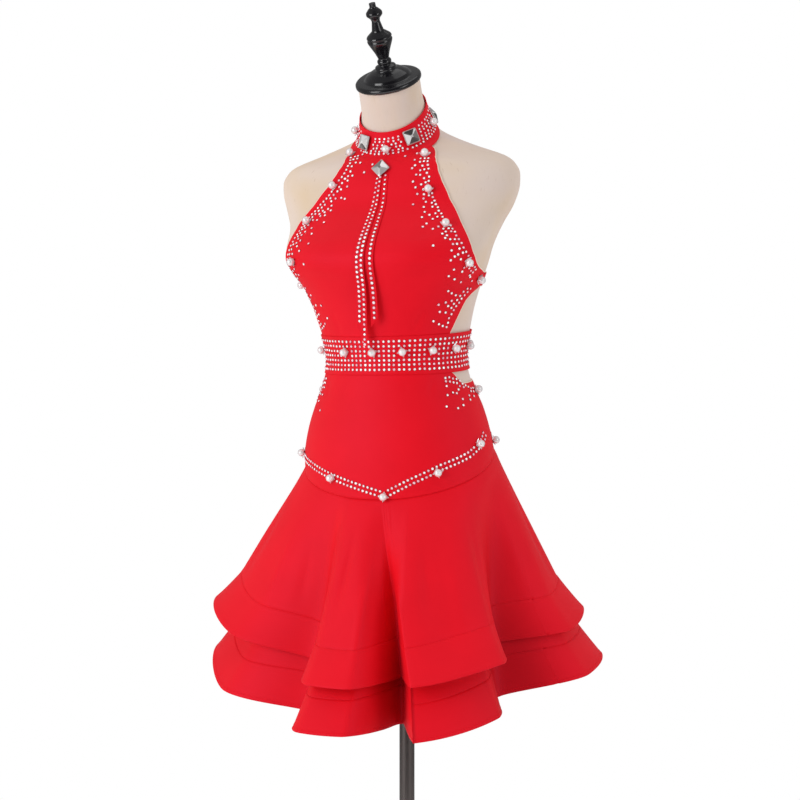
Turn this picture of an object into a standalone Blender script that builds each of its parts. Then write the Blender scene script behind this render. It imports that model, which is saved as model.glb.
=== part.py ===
"""Latin dance dress with a halter collar and a two-tier circle skirt, on a limbless dress form.

Metres, +Z up. The origin is the middle of the base plate's underside. The dress faces -Y and the
wearer's left is +X. The form's skin is one surface, skin(angle, level): the angle runs round the
body from the front towards the wearer's left, and the level runs up it. Every cloth panel is a
wall made from that surface's points, moved out by named clearances. The skirt starts on the hip
seam and opens into folds, a row of the FOLDS table for each.
"""
import math

import bmesh
import bpy
import numpy as np
from mathutils import Vector
from mathutils.bvhtree import BVHTree

# ---- cloth ---------------------------------------------------------------------------------------
SEAM_GAP = 0.0003
CLOTH = 0.0016
CLEAR = 0.0007
OUTSIDE = CLEAR + CLOTH

# ---- the form's skin: one row a level ------------------------------------------------------------
# level, middle_y, tilt_deg (front down), half_width, front_depth, back_depth
BODY = np.array([
    (0.800, -0.030, 0.0, 0.118, 0.080, 0.085),
    (0.860, -0.031, 0.0, 0.129, 0.090, 0.096),
    (0.920, -0.033, 2.0, 0.136, 0.098, 0.104),
    (0.965, -0.035, 4.0, 0.1375, 0.100, 0.104),
    (1.000, -0.036, 5.0, 0.131, 0.098, 0.096),
    (1.037, -0.037, 6.5, 0.1190, 0.092, 0.086),
    (1.066, -0.039, 8.0, 0.1075, 0.086, 0.080),
    (1.100, -0.042, 8.0, 0.1015, 0.083, 0.079),
    (1.139, -0.045, 7.0, 0.1090, 0.086, 0.086),
    (1.168, -0.050, 6.0, 0.1165, 0.088, 0.094),
    (1.198, -0.054, 5.0, 0.1265, 0.090, 0.102),
    (1.227, -0.056, 4.0, 0.1370, 0.090, 0.106),
    (1.256, -0.053, 4.0, 0.1450, 0.086, 0.106),
    (1.285, -0.041, 4.0, 0.1555, 0.086, 0.104),
    (1.314, -0.033, 4.0, 0.1710, 0.080, 0.096),
    (1.344, -0.031, 5.0, 0.1800, 0.076, 0.080),
    (1.365, -0.032, 8.0, 0.1770, 0.070, 0.066),
    (1.381, -0.033, 12.0, 0.1590, 0.065, 0.058),
    (1.395, -0.035, 20.0, 0.1160, 0.062, 0.054),
    (1.412, -0.038, 31.0, 0.0650, 0.060, 0.056),
    (1.430, -0.046, 36.0, 0.0530, 0.052, 0.052),
    (1.447, -0.054, 38.0, 0.0470, 0.0475, 0.0475),
    (1.489, -0.073, 33.0, 0.0440, 0.0440, 0.0440),
])
FORM_BOTTOM = 0.800
FORM_TOP = 1.487
FORM_INSET = 0.0012
FORM_COLUMNS = 36
FORM_ROWS = 31
# rows lie closer together on the bust, the shoulders and the foot of the neck
FORM_ROW_SHARES = (0.0, 0.26, 0.48, 0.60, 0.92, 1.0)
FORM_ROW_LEVELS = (FORM_BOTTOM, 1.050, 1.240, 1.345, 1.430, FORM_TOP)

# the bust: how far the chest stands out, and where
BUST_REACH = 0.026
BUST_LEVEL = 1.246
BUST_ABOVE = 0.048
BUST_BELOW = 0.038
BUST_ANGLE = math.radians(48.0)
BUST_SPREAD = math.radians(30.0)
BUST_HOLLOW = 0.22

# ---- belt, collar, band --------------------------------------------------------------------------
BELT_BOTTOM = 1.080
BELT_TOP = 1.135
COLLAR_BOTTOM = 1.413
COLLAR_TOP = 1.451
COLLAR_DIP = 0.0075
BAND_BOTTOM = 1.198
BAND_TOP = 1.216
BAND_SIDE = math.radians(92.0)
COLLAR_COLUMNS = 36
BELT_COLUMNS = 40
BAND_COLUMNS = 21
SEAM_ANGLE = 0.002

# ---- front bodice: half of its width round the body at each level --------------------------------
# level, left_half_angle_deg, right_half_angle_deg
BODICE_EDGE = np.array([
    (1.135, 61.0, 61.0),
    (1.158, 67.5, 67.5),
    (1.180, 73.0, 73.0),
    (1.190, 79.5, 79.5),
    (1.198, 92.0, 92.0),
    (1.216, 92.0, 92.0),
    (1.220, 75.0, 75.0),
    (1.229, 64.5, 64.5),
    (1.243, 57.0, 57.0),
    (1.255, 53.5, 53.5),
    (1.270, 49.5, 51.0),
    (1.292, 43.5, 47.0),
    (1.318, 35.0, 36.0),
    (1.344, 29.5, 27.0),
    (1.362, 27.2, 23.3),
    (1.380, 28.0, 22.5),
    (1.392, 33.0, 26.5),
    (1.403, 43.0, 35.5),
    (1.413, 60.5, 50.0),
])
LEFT_EDGE, RIGHT_EDGE = 1, 2
BODICE_COLUMNS = 28
BODICE_CROWD = math.radians(72.0)

# ---- hip yoke ------------------------------------------------------------------------------------
HIP_SEAM_MIDDLE = 0.951
HIP_SEAM_DIP = 0.050
SIDE_CUT_DEPTH = 0.018
SIDE_CUT_FRONT = math.radians(64.0)
SIDE_CUT_FULL = math.radians(76.0)
BACK_CUT_END = math.radians(160.0)
BACK_CUT_RUN = math.radians(25.0)
YOKE_COLUMNS = 21
YOKE_ROWS = 7

# ---- skirt folds, at the hip seam and at the hem, going round towards the wearer's left ----------
HIP_ANGLE, HEM_ANGLE, UPPER_RADIUS, LOWER_RADIUS, UPPER_LIFT, LOWER_LIFT = range(6)
# hip_angle_deg, hem_angle_deg, upper_radius, lower_radius, upper_lift, lower_lift
FOLDS = np.array([
    (-20.0, -11.0, 0.226, 0.249, 0.000, 0.008),
    (-4.0, 3.0, 0.229, 0.245, 0.000, 0.008),
    (7.0, 14.5, 0.172, 0.178, 0.000, 0.004),
    (11.0, 22.0, 0.142, 0.148, 0.000, 0.004),
    (14.0, 24.5, 0.230, 0.245, 0.000, -0.003),
    (59.0, 57.0, 0.236, 0.230, 0.008, 0.000),
    (84.0, 77.0, 0.158, 0.166, 0.004, -0.008),
    (100.0, 97.0, 0.252, 0.276, 0.006, 0.003),
    (116.0, 114.0, 0.266, 0.295, 0.014, 0.006),
    (132.0, 131.0, 0.165, 0.175, 0.000, 0.000),
    (155.0, 154.0, 0.258, 0.282, 0.000, 0.000),
    (178.0, 177.0, 0.162, 0.172, 0.000, 0.000),
    (200.0, 199.0, 0.250, 0.275, 0.000, 0.000),
    (221.0, 221.0, 0.165, 0.175, 0.000, 0.000),
    (242.0, 242.0, 0.255, 0.280, 0.000, 0.000),
    (261.0, 260.0, 0.185, 0.195, 0.012, 0.004),
    (277.0, 274.0, 0.281, 0.282, 0.044, 0.034),
    (297.0, 297.0, 0.243, 0.255, 0.022, 0.005),
    (328.0, 326.0, 0.142, 0.150, 0.008, 0.002),
])
SKIRT_MIDDLE_Y = -0.032
HIP_HALF_WIDTH = 0.1375
HIP_DEPTH = 0.102
# each hem: its lift column, its middle level and how much lower it hangs in front
TIER_HEMS = {
    "upper": (UPPER_LIFT, 0.705, 0.047),
    "lower": (LOWER_LIFT, 0.645, 0.053),
}
LOWER_TOP_DROP = 0.014
LAYER_GAP = 0.0009
LAYER_ROOM = 0.0030
HEM_BAND = 0.052
HEM_FLARE = 0.11
BAND_SHARE = 0.80
COLUMNS_PER_ROW = 5
SKIRT_ROWS = 5
HEM_ROWS = 3
PLACE_STEP = 0.01
FALL_STEP = 0.002
FOLD_TURNING = 0.8
FLARE_CURVE = 1.2

# ---- hanging strips: they lie on the chest and hang free below the bust --------------------------
# level, left strip's middle x and half width, right strip's middle x and half width, standoff
STRIPS = np.array([
    (1.364, -0.0010, 0.0035, 0.0070, 0.0030, 0.0010),
    (1.300, -0.0040, 0.0055, 0.0085, 0.0040, 0.0020),
    (1.240, -0.0065, 0.0065, 0.0090, 0.0045, 0.0022),
    (1.200, -0.0080, 0.0065, 0.0085, 0.0045, 0.0045),
    (1.160, -0.0095, 0.0065, 0.0075, 0.0045, 0.0095),
    (1.110, -0.0105, 0.0065, 0.0065, 0.0045, 0.0140),
])
STRIP_TOP = 1.361
STRIP_CLOTH = 0.0012
STRIP_ROWS = 18
LEFT_STRIP_ENDS = (1.150, 1.116)
RIGHT_STRIP_ENDS = (1.151, 1.163)

# ---- pearls and square stones --------------------------------------------------------------------
PEARL = 0.0055
PEARL_SINK = 0.0010
BELT_PEARLS_DEG = np.array([
    -68.0, -26.0, -1.0, 22.0, 46.0, 69.0, 93.0, 119.0, 146.0, 172.0, 198.0, 225.0, 257.0,
])
BELT_PEARL_RISE = 0.007
# angle_deg, level
COLLAR_PEARLS = np.array([(3.5, 1.4205), (-75.0, 1.4310), (89.0, 1.4305)])
BODICE_PEARLS = np.array([
    (32.5, 1.3970),
    (23.5, 1.3335),
    (37.5, 1.2810),
    (56.0, 1.2315),
    (81.0, 1.2080),
    (-44.0, 1.4060),
    (-23.5, 1.3455),
    (-39.0, 1.2930),
    (-46.0, 1.2380),
    (-81.0, 1.2080),
])
YOKE_PEARLS = np.array([(72.5, 0.9775), (39.0, 0.9415), (6.5, 0.9065), (-28.5, 0.9320), (-72.0, 0.9625)])
YOKE_SIDE_PEARL = (94.5, 1.0490)
YOKE_BACK_PEARLS = np.array([(105.0, 0.977), (143.0, 1.008), (180.0, 1.016), (217.0, 1.006), (254.0, 0.982)])
STONE_SIZE = 0.0205
FRONT_STONE_SIZE = 0.019
STONE_HEIGHT = 0.0045
STONE_GIRDLE = 0.0012
STONE_TABLE = 0.56
STONE_TURN = 0.05
FRONT_STONE_SEAT = 0.0029
# name, angle_deg, level, seat above the collar
COLLAR_STONES = (
    ("stone_collar_front_left", 41.0, 1.4300, 0.0021),
    ("stone_collar_front_right", -34.0, 1.4280, 0.0028),
    ("stone_collar_side_left", 117.0, 1.4300, 0.0008),
    ("stone_collar_side_right", -117.0, 1.4300, 0.0008),
)
FRONT_STONE_LEVEL = 1.3705

# ---- form's cap, pole and base -------------------------------------------------------------------
# radius, height up the cap's axis
CAP_PROFILE = (
    (0.0450, 0.0000),
    (0.0475, 0.0020),
    (0.0475, 0.0060),
    (0.0455, 0.0080),
    (0.0340, 0.0088),
    (0.0315, 0.0130),
    (0.0230, 0.0185),
    (0.0150, 0.0210),
    (0.0150, 0.0255),
    (0.0085, 0.0285),
    (0.0102, 0.0315),
    (0.0100, 0.0345),
    (0.0075, 0.0370),
    (0.0105, 0.0460),
    (0.0172, 0.0610),
    (0.0182, 0.0645),
    (0.0165, 0.0665),
    (0.0182, 0.0685),
    (0.0170, 0.0710),
    (0.0085, 0.0780),
    (0.0058, 0.0920),
    (0.0070, 0.0960),
    (0.0115, 0.1005),
    (0.0115, 0.1045),
    (0.0072, 0.1095),
    (0.0046, 0.1115),
    (0.0046, 0.1175),
)
POLE_RADIUS = 0.011
POLE_FLANGE = 0.030
POLE_FLANGE_HEIGHT = 0.010
BASE_RADIUS = 0.180
BASE_HEIGHT = 0.014
BASE_EDGE = 0.004
BASE_RISE = 0.003
HUB_RADIUS = 0.026
HUB_TOP = 0.046
HUB_EDGE = 0.003
CAP_SIDES = 16
POLE_SIDES = 20
BASE_SIDES = 28


def clear_scene():
    """Take away every object of the starting scene."""
    for thing in list(bpy.data.objects):
        bpy.data.objects.remove(thing, do_unlink=True)


def make_material(name, colour, roughness, metallic=0.0):
    """One plain finish."""
    material = bpy.data.materials.new(name)
    material.use_nodes = True
    shader = material.node_tree.nodes["Principled BSDF"]
    shader.inputs["Base Color"].default_value = (*colour, 1.0)
    shader.inputs["Roughness"].default_value = roughness
    shader.inputs["Metallic"].default_value = metallic
    return material


def add_object(name, mesh, material, smooth_deg=40.0):
    """Put a mesh in the scene under its own name, shaded smooth but for its edges."""
    mesh.materials.append(material)
    mesh.shade_smooth()
    mesh.set_sharp_from_angle(angle=math.radians(smooth_deg))
    thing = bpy.data.objects.new(name, mesh)
    bpy.context.scene.collection.objects.link(thing)
    return thing


def mesh_from(name, points, faces):
    """A mesh with its faces pointing out."""
    mesh = bpy.data.meshes.new(name)
    mesh.from_pydata([tuple(point) for point in points], [], faces)
    work = bmesh.new()
    work.from_mesh(mesh)
    bmesh.ops.recalc_face_normals(work, faces=work.faces)
    work.to_mesh(mesh)
    work.free()
    return mesh


def smooth_value(at, knots, values):
    """A smooth curve through a table's column."""
    slopes = np.gradient(values, knots)
    at = np.clip(at, knots[0], knots[-1])
    place = np.clip(np.searchsorted(knots, at, side="right") - 1, 0, len(knots) - 2)
    span = knots[place + 1] - knots[place]
    f = (at - knots[place]) / span
    start = (1.0 + 2.0 * f) * (1.0 - f) ** 2 * values[place] + f * (1.0 - f) ** 2 * span * slopes[place]
    end = f * f * (3.0 - 2.0 * f) * values[place + 1] + f * f * (f - 1.0) * span * slopes[place + 1]
    return start + end


def bust(angle, level):
    """How far the bust lifts the skin at a place."""
    turn = np.abs(np.arctan2(np.sin(angle), np.cos(angle)))
    inside = 1.0 - BUST_HOLLOW * np.cos(turn / BUST_ANGLE * math.pi / 2.0) ** 2
    outside = np.exp(-((turn - BUST_ANGLE) / BUST_SPREAD) ** 2)
    around = np.where(turn < BUST_ANGLE, inside, outside)
    reach = np.where(level > BUST_LEVEL, BUST_ABOVE, BUST_BELOW)
    return BUST_REACH * around * np.exp(-((level - BUST_LEVEL) / reach) ** 2)


def skin(angle, level):
    """The form's surface at an angle round the body and a level up it."""
    angle, level = np.broadcast_arrays(np.asarray(angle, float), np.asarray(level, float))
    knots = BODY[:, 0]
    middle, tilt, width, front, back = (smooth_value(level, knots, BODY[:, k]) for k in range(1, 6))
    tilt = np.radians(tilt)
    depth = np.where(np.cos(angle) > 0.0, front, back)
    lift = bust(angle, level)
    across = (width + lift) * np.sin(angle)
    ahead = -(depth + lift) * np.cos(angle)
    return np.stack([across, middle + ahead * np.cos(tilt), level + ahead * np.sin(tilt)], axis=-1)


def normals_of(surface, u, v, step=0.0005):
    """Outward unit normals of a surface function of two values."""
    along_u = surface(u + 2.0 * step, v) - surface(u - 2.0 * step, v)
    along_v = surface(u, v + step) - surface(u, v - step)
    normal = np.cross(along_u, along_v)
    return normal / np.linalg.norm(normal, axis=-1, keepdims=True)


def lifted(angle, level, out):
    """A point that stands off the form's skin by a distance."""
    angle, level = np.broadcast_arrays(np.asarray(angle, float), np.asarray(level, float))
    inner_level = np.clip(level, FORM_BOTTOM + 0.001, FORM_TOP - 0.001)
    normal = normals_of(skin, angle, inner_level)
    return skin(angle, level) + normal * np.asarray(out)[..., None]


def wall_mesh(name, outer, inner, ring=False):
    """A closed wall between two grids of points, open at the ends or joined up as a ring."""
    rows, columns = outer.shape[:2]
    points = np.concatenate([outer.reshape(-1, 3), inner.reshape(-1, 3)])
    inside = rows * columns
    faces = []
    wide = columns if ring else columns - 1
    for r in range(rows - 1):
        for c in range(wide):
            d = (c + 1) % columns
            a, b = r * columns + c, r * columns + d
            e, f = a + columns, b + columns
            faces.append((a, b, f, e))
            faces.append((inside + a, inside + e, inside + f, inside + b))
    for c in range(wide):
        d = (c + 1) % columns
        last = (rows - 1) * columns
        faces.append((c, inside + c, inside + d, d))
        faces.append((last + c, last + d, inside + last + d, inside + last + c))
    if not ring:
        for r in range(rows - 1):
            for c in (0, columns - 1):
                a = r * columns + c
                faces.append((a, a + columns, inside + a + columns, inside + a))
    return mesh_from(name, points, faces)


def body_panel(name, material, angle, level, ring=False, inner=CLEAR, outer=OUTSIDE):
    """A cloth wall on the form's skin, from grids of angles and levels."""
    mesh = wall_mesh(name, lifted(angle, level, outer), lifted(angle, level, inner), ring)
    return add_object(name, mesh, material)


def pearl_cluster(name, places):
    """Round pearls in one helper mesh, each sunk a little into the wall that carries it."""
    work = bmesh.new()
    for point, normal in places:
        made = bmesh.ops.create_uvsphere(work, u_segments=6, v_segments=4, radius=PEARL)
        turn = Vector((0.0, 0.0, 1.0)).rotation_difference(normal).to_matrix()
        bmesh.ops.rotate(work, verts=made["verts"], matrix=turn)
        bmesh.ops.translate(work, verts=made["verts"], vec=point + normal * (PEARL - PEARL_SINK))
    mesh = bpy.data.meshes.new(name)
    work.to_mesh(mesh)
    work.free()
    thing = bpy.data.objects.new(name, mesh)
    bpy.context.scene.collection.objects.link(thing)
    thing.hide_render = True
    thing.display_type = "WIRE"
    return thing


def raise_pearls(panel, angles, levels):
    """Raise pearls in a panel's outer side, each on the facet nearest to its place on the body."""
    mesh = panel.data
    corners = [vertex.co[:] for vertex in mesh.vertices]
    facets = BVHTree.FromPolygons(corners, [face.vertices[:] for face in mesh.polygons])
    places = []
    for point in lifted(angles, levels, OUTSIDE + CLOTH):
        seat, normal, *_ = facets.find_nearest(Vector(point))
        places.append((seat, normal))
    union = panel.modifiers.new("pearls", "BOOLEAN")
    union.operation = "UNION"
    union.solver = "EXACT"
    union.object = pearl_cluster(panel.name + "_pearls", places)


def ring_angles(count):
    """Angles all round the body."""
    return np.linspace(-math.pi, math.pi, count, endpoint=False)


# ---- form ----------------------------------------------------------------------------------------
def build_form(material):
    """The limbless torso, closed at its underside and its neck."""
    share = np.linspace(0.0, 1.0, FORM_ROWS)
    level = np.interp(share, FORM_ROW_SHARES, FORM_ROW_LEVELS)
    grid = lifted(ring_angles(FORM_COLUMNS)[None, :], level[:, None], -FORM_INSET)
    points = grid.reshape(-1, 3)
    faces = []
    for r in range(FORM_ROWS - 1):
        for c in range(FORM_COLUMNS):
            d = (c + 1) % FORM_COLUMNS
            a, b = r * FORM_COLUMNS + c, r * FORM_COLUMNS + d
            faces.append((a, b, b + FORM_COLUMNS, a + FORM_COLUMNS))
    faces.append(tuple(range(FORM_COLUMNS)))
    top = (FORM_ROWS - 1) * FORM_COLUMNS
    faces.append(tuple(top + c for c in range(FORM_COLUMNS)))
    add_object("form_torso", mesh_from("form_torso", points, faces), material, 60.0)


# ---- bodice, collar, band, belt, yoke ------------------------------------------------------------
def bodice_half_angle(level, side):
    """The front bodice's width round the body on one side of its middle."""
    return np.radians(np.interp(level, BODICE_EDGE[:, 0], BODICE_EDGE[:, side]))


def build_bodice(material):
    """The halter front, from the belt up to the collar, with its armhole pearls."""
    levels = BODICE_EDGE[:, 0].copy()
    levels[0] += SEAM_GAP
    share = np.sin(np.linspace(-BODICE_CROWD, BODICE_CROWD, BODICE_COLUMNS + 1)) / math.sin(BODICE_CROWD)
    left, right = (bodice_half_angle(levels, side)[:, None] for side in (LEFT_EDGE, RIGHT_EDGE))
    angle = share[None, :] * np.where(share[None, :] > 0.0, left, right)
    level = np.broadcast_to(levels[:, None], angle.shape).copy()
    level[-1] = collar_edge(COLLAR_BOTTOM, angle[-1]) - SEAM_GAP
    level[-2] = (level[-3] + level[-1]) / 2.0
    panel = body_panel("bodice_front", material, angle, level)
    raise_pearls(panel, np.radians(BODICE_PEARLS[:, 0]), BODICE_PEARLS[:, 1])


def collar_edge(level, angle):
    """An edge of the collar, a little lower in front."""
    return level - COLLAR_DIP * np.cos(angle)


def build_collar(material):
    """The stand collar round the neck."""
    angle = ring_angles(COLLAR_COLUMNS)
    share = np.linspace(0.0, 1.0, 3)[:, None]
    level = collar_edge(COLLAR_BOTTOM, angle) * (1.0 - share) + collar_edge(COLLAR_TOP, angle) * share
    panel = body_panel("collar", material, np.broadcast_to(angle[None, :], level.shape), level, ring=True)
    raise_pearls(panel, np.radians(COLLAR_PEARLS[:, 0]), COLLAR_PEARLS[:, 1])


def build_back_band(material):
    """The narrow band under the shoulder blades, from side to side."""
    side = BAND_SIDE + SEAM_ANGLE
    angle = np.linspace(side, 2.0 * math.pi - side, BAND_COLUMNS)
    angle, level = np.meshgrid(angle, np.array([BAND_BOTTOM, BAND_TOP]))
    body_panel("back_band", material, angle, level)


def build_belt(material):
    """The waist belt, all round, with its row of pearls."""
    angle, level = np.meshgrid(ring_angles(BELT_COLUMNS), np.linspace(BELT_BOTTOM, BELT_TOP, 3))
    panel = body_panel("belt", material, angle, level, ring=True)
    middle = (BELT_BOTTOM + BELT_TOP) / 2.0 + BELT_PEARL_RISE
    raise_pearls(panel, np.radians(BELT_PEARLS_DEG), np.full(len(BELT_PEARLS_DEG), middle))


def hip_seam_level(angle):
    """The level of the seam that carries the skirt."""
    return HIP_SEAM_MIDDLE - HIP_SEAM_DIP * np.cos(angle)


def yoke_top_level(angle):
    """The yoke's upper edge: under the belt, cut lower at the sides."""
    turn = np.abs(np.arctan2(np.sin(angle), np.cos(angle)))
    full = np.clip((turn - SIDE_CUT_FRONT) / (SIDE_CUT_FULL - SIDE_CUT_FRONT), 0.0, 1.0)
    back = np.clip((BACK_CUT_END - turn) / BACK_CUT_RUN, 0.0, 1.0)
    return BELT_BOTTOM - SEAM_GAP - SIDE_CUT_DEPTH * np.minimum(full, back)


def build_yoke(name, material, start, end):
    """One half of the hip yoke, between the belt and the skirt."""
    half_seam = SEAM_ANGLE / 2.0
    angle = np.linspace(start + half_seam, end - half_seam, YOKE_COLUMNS)
    top = yoke_top_level(angle)
    bottom = hip_seam_level(angle) + SEAM_GAP
    share = np.linspace(0.0, 1.0, YOKE_ROWS)[:, None]
    level = bottom[None, :] * (1.0 - share) + top[None, :] * share
    return body_panel(name, material, np.broadcast_to(angle[None, :], level.shape), level)


def build_yokes(material):
    """Both halves of the hip yoke, with the pearls of its trim."""
    front = build_yoke("yoke_front", material, -math.pi / 2.0, math.pi / 2.0)
    back = build_yoke("yoke_back", material, math.pi / 2.0, 1.5 * math.pi)
    raise_pearls(front, np.radians(YOKE_PEARLS[:, 0]), YOKE_PEARLS[:, 1])
    side, side_level = YOKE_SIDE_PEARL
    angles = np.radians(np.append(YOKE_BACK_PEARLS[:, 0], [side, 360.0 - side]))
    raise_pearls(back, angles, np.append(YOKE_BACK_PEARLS[:, 1], [side_level, side_level]))


# ---- skirt ---------------------------------------------------------------------------------------
def fold_value(place, column):
    """One column of the fold table, smooth round the skirt, at a place counted in table rows."""
    count = len(FOLDS)
    row = np.floor(place).astype(int)
    f = place - row
    here, after = row % count, (row + 1) % count
    values = FOLDS[:, column]
    spans = np.diff(FOLDS[:, HEM_ANGLE], append=FOLDS[0, HEM_ANGLE] + 360.0)
    rates = (np.roll(values, -1) - values) / spans
    before = np.roll(rates, 1)
    same_way = rates * before > 0.0
    slopes = np.where(same_way, 2.0 * rates * before / np.where(same_way, rates + before, 1.0), 0.0)
    start = (1.0 + 2.0 * f) * (1.0 - f) ** 2 * values[here] + f * (1.0 - f) ** 2 * spans[here] * slopes[here]
    end = f * f * (3.0 - 2.0 * f) * values[after] + f * f * (f - 1.0) * spans[here] * slopes[after]
    return start + end


def fold_angle(place, column):
    """The direction of a place on the folds, from one of the table's angle columns."""
    count = len(FOLDS)
    row = np.floor(place).astype(int)
    angles = FOLDS[:, column]
    start = angles[row % count] + 360.0 * (row // count)
    end = angles[(row + 1) % count] + 360.0 * ((row + 1) // count)
    return np.radians(start + (end - start) * (place - row))


def ring_angle_of(direction):
    """The skin's angle that lies in a direction from the skirt's middle, near the hip seam."""
    return np.arctan2(np.sin(direction) / HIP_HALF_WIDTH, np.cos(direction) / HIP_DEPTH)


def hem_level(tier, place):
    """The level of a tier's hem."""
    lift, middle, dip = TIER_HEMS[tier]
    return middle - dip * np.cos(fold_angle(place, HEM_ANGLE)) + fold_value(place, lift)


def opened(share):
    """How far a cloth has opened out at a share of its fall: a cone with a flare in its hem band."""
    flared = np.clip((share - BAND_SHARE) / (1.0 - BAND_SHARE), 0.0, 1.0)
    return (1.0 - HEM_FLARE) * share + HEM_FLARE * flared ** FLARE_CURVE


def clear_of_body(radius, ring, height, depth):
    """A skirt radius kept outside the hips, with room for the lower tier a little below the seam."""
    ramp = np.clip(depth / LOWER_TOP_DROP, 0.0, 1.0)
    level = height - (skin(ring, height)[..., 2] - height)
    body = lifted(ring, level, OUTSIDE + LAYER_ROOM * ramp)
    least = np.hypot(body[..., 0], body[..., 1] - SKIRT_MIDDLE_Y)
    soft = LAYER_ROOM * ramp
    return 0.5 * (radius + least + np.sqrt((radius - least) ** 2 + soft ** 2))


def under_upper(radius, cover):
    """A lower tier's radius kept inside the upper tier that covers it."""
    return 0.5 * (radius + cover - np.sqrt((radius - cover) ** 2 + LAYER_ROOM ** 2))


def tier_surface(tier):
    """A tier's outer surface, for a place round it and a fall: 0 at the seam, 1 and 2 at the two hems."""

    def surface(place, fall):
        place, fall = np.broadcast_arrays(np.asarray(place, float), np.asarray(fall, float))
        covered = np.clip(fall, 0.0, 1.0)
        below = np.maximum(fall - 1.0, 0.0)
        turned = covered ** FOLD_TURNING
        direction = fold_angle(place, HIP_ANGLE) * (1.0 - turned) + fold_angle(place, HEM_ANGLE) * turned
        ring = ring_angle_of(direction)
        top = lifted(ring, hip_seam_level(ring) - SEAM_GAP, OUTSIDE)
        top_radius = np.hypot(top[..., 0], top[..., 1] - SKIRT_MIDDLE_Y)
        upper, lower = hem_level("upper", place), hem_level("lower", place)
        level = top[..., 2] - (top[..., 2] - upper) * covered - (upper - lower) * below
        depth = top[..., 2] - level
        radius = top_radius + (fold_value(place, UPPER_RADIUS) - top_radius) * opened(covered)
        if tier == "lower":
            cover = radius + (upper - lower) * below
            share = depth / (top[..., 2] - lower)
            reach = top_radius + (fold_value(place, LOWER_RADIUS) - top_radius) * opened(share)
            radius = under_upper(reach, cover)
        radius = clear_of_body(radius, ring, level, depth)
        across = top[..., 0] / top_radius * radius
        ahead = (top[..., 1] - SKIRT_MIDDLE_Y) / top_radius * radius
        return np.stack([across, ahead + SKIRT_MIDDLE_Y, level], axis=-1)

    return surface


def tier_point(tier, place, fall, out):
    """A point off a tier's surface."""
    surface = tier_surface(tier)
    inside = np.maximum(fall, FALL_STEP)
    along = surface(place + PLACE_STEP, inside) - surface(place - PLACE_STEP, inside)
    down = surface(place, inside) - surface(place, inside - FALL_STEP)
    normal = np.cross(down, along)
    normal = normal / np.linalg.norm(normal, axis=-1, keepdims=True)
    return surface(place, fall) + normal * out


def side_places():
    """Where the side seams fall, counted in fold rows."""
    places = np.arange(0.0, len(FOLDS), 0.01)
    directions = np.degrees(fold_angle(places, HEM_ANGLE))
    return np.interp(90.0, directions, places), np.interp(270.0, directions, places)


def skirt_columns(start, end):
    """Places round one half of the skirt, closer together in the folds."""
    count = int(round((end - start) * COLUMNS_PER_ROW))
    return np.linspace(start, end, count + 1)


def trimmed(grid):
    """A grid with its end columns drawn in by half a seam gap."""
    grid = grid.copy()
    for end, inner in ((0, 1), (-1, -2)):
        way = grid[:, inner] - grid[:, end]
        grid[:, end] += way / np.linalg.norm(way, axis=-1, keepdims=True) * SEAM_GAP / 2.0
    return grid


def build_skirt_panel(name, material, tier, places, falls, out):
    """One cloth wall of the skirt."""
    outer = trimmed(tier_point(tier, places[None, :], falls, out))
    inner = trimmed(tier_point(tier, places[None, :], falls, out - CLOTH))
    return add_object(name, wall_mesh(name, outer, inner), material)


def spread(start, end, rows):
    """Rows of falls between two edges, for every place round the skirt."""
    share = np.linspace(0.0, 1.0, rows)[:, None]
    return start[None, :] * (1.0 - share) + end[None, :] * share


def skirt_falls(places):
    """The falls of the rows of each tier's skirt and hem band, at every place round it."""
    ring = ring_angle_of(fold_angle(places, HIP_ANGLE))
    top = lifted(ring, hip_seam_level(ring), OUTSIDE)[:, 2]
    lengths = {}
    for tier, start, end in (("upper", 0.0, 1.0), ("lower", 1.0, 2.0)):
        surface = tier_surface(tier)
        lengths[tier] = np.linalg.norm(surface(places, end) - surface(places, start), axis=-1)
    first = LOWER_TOP_DROP / (top - hem_level("upper", places))
    upper_seam = 1.0 - HEM_BAND / lengths["upper"]
    lower_seam = 2.0 - HEM_BAND / lengths["lower"]
    upper_gap, lower_gap = (SEAM_GAP / 2.0 / lengths[tier] for tier in ("upper", "lower"))
    covered = spread(first, upper_seam - upper_gap, SKIRT_ROWS)
    hem = np.ones((1, len(places)))
    return {
        "upper_skirt": np.concatenate([np.zeros_like(hem), covered]),
        "upper_hem": spread(upper_seam + upper_gap, hem[0], HEM_ROWS),
        "lower_skirt": np.concatenate([covered, hem, (lower_seam - lower_gap)[None, :]]),
        "lower_hem": spread(lower_seam + lower_gap, 2.0 * hem[0], HEM_ROWS),
    }


def build_skirt(material):
    """Two tiers, each of a skirt and a hem band, in a front and a back half."""
    left, right = side_places()
    halves = {"front": (right - len(FOLDS), left), "back": (left, right)}
    outs = {"upper": 0.0, "lower": -(CLOTH + LAYER_GAP)}
    for half, (start, end) in halves.items():
        places = skirt_columns(start, end)
        for piece, falls in skirt_falls(places).items():
            tier = piece.split("_")[0]
            build_skirt_panel(f"{piece}_{half}", material, tier, places, falls, outs[tier])


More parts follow.
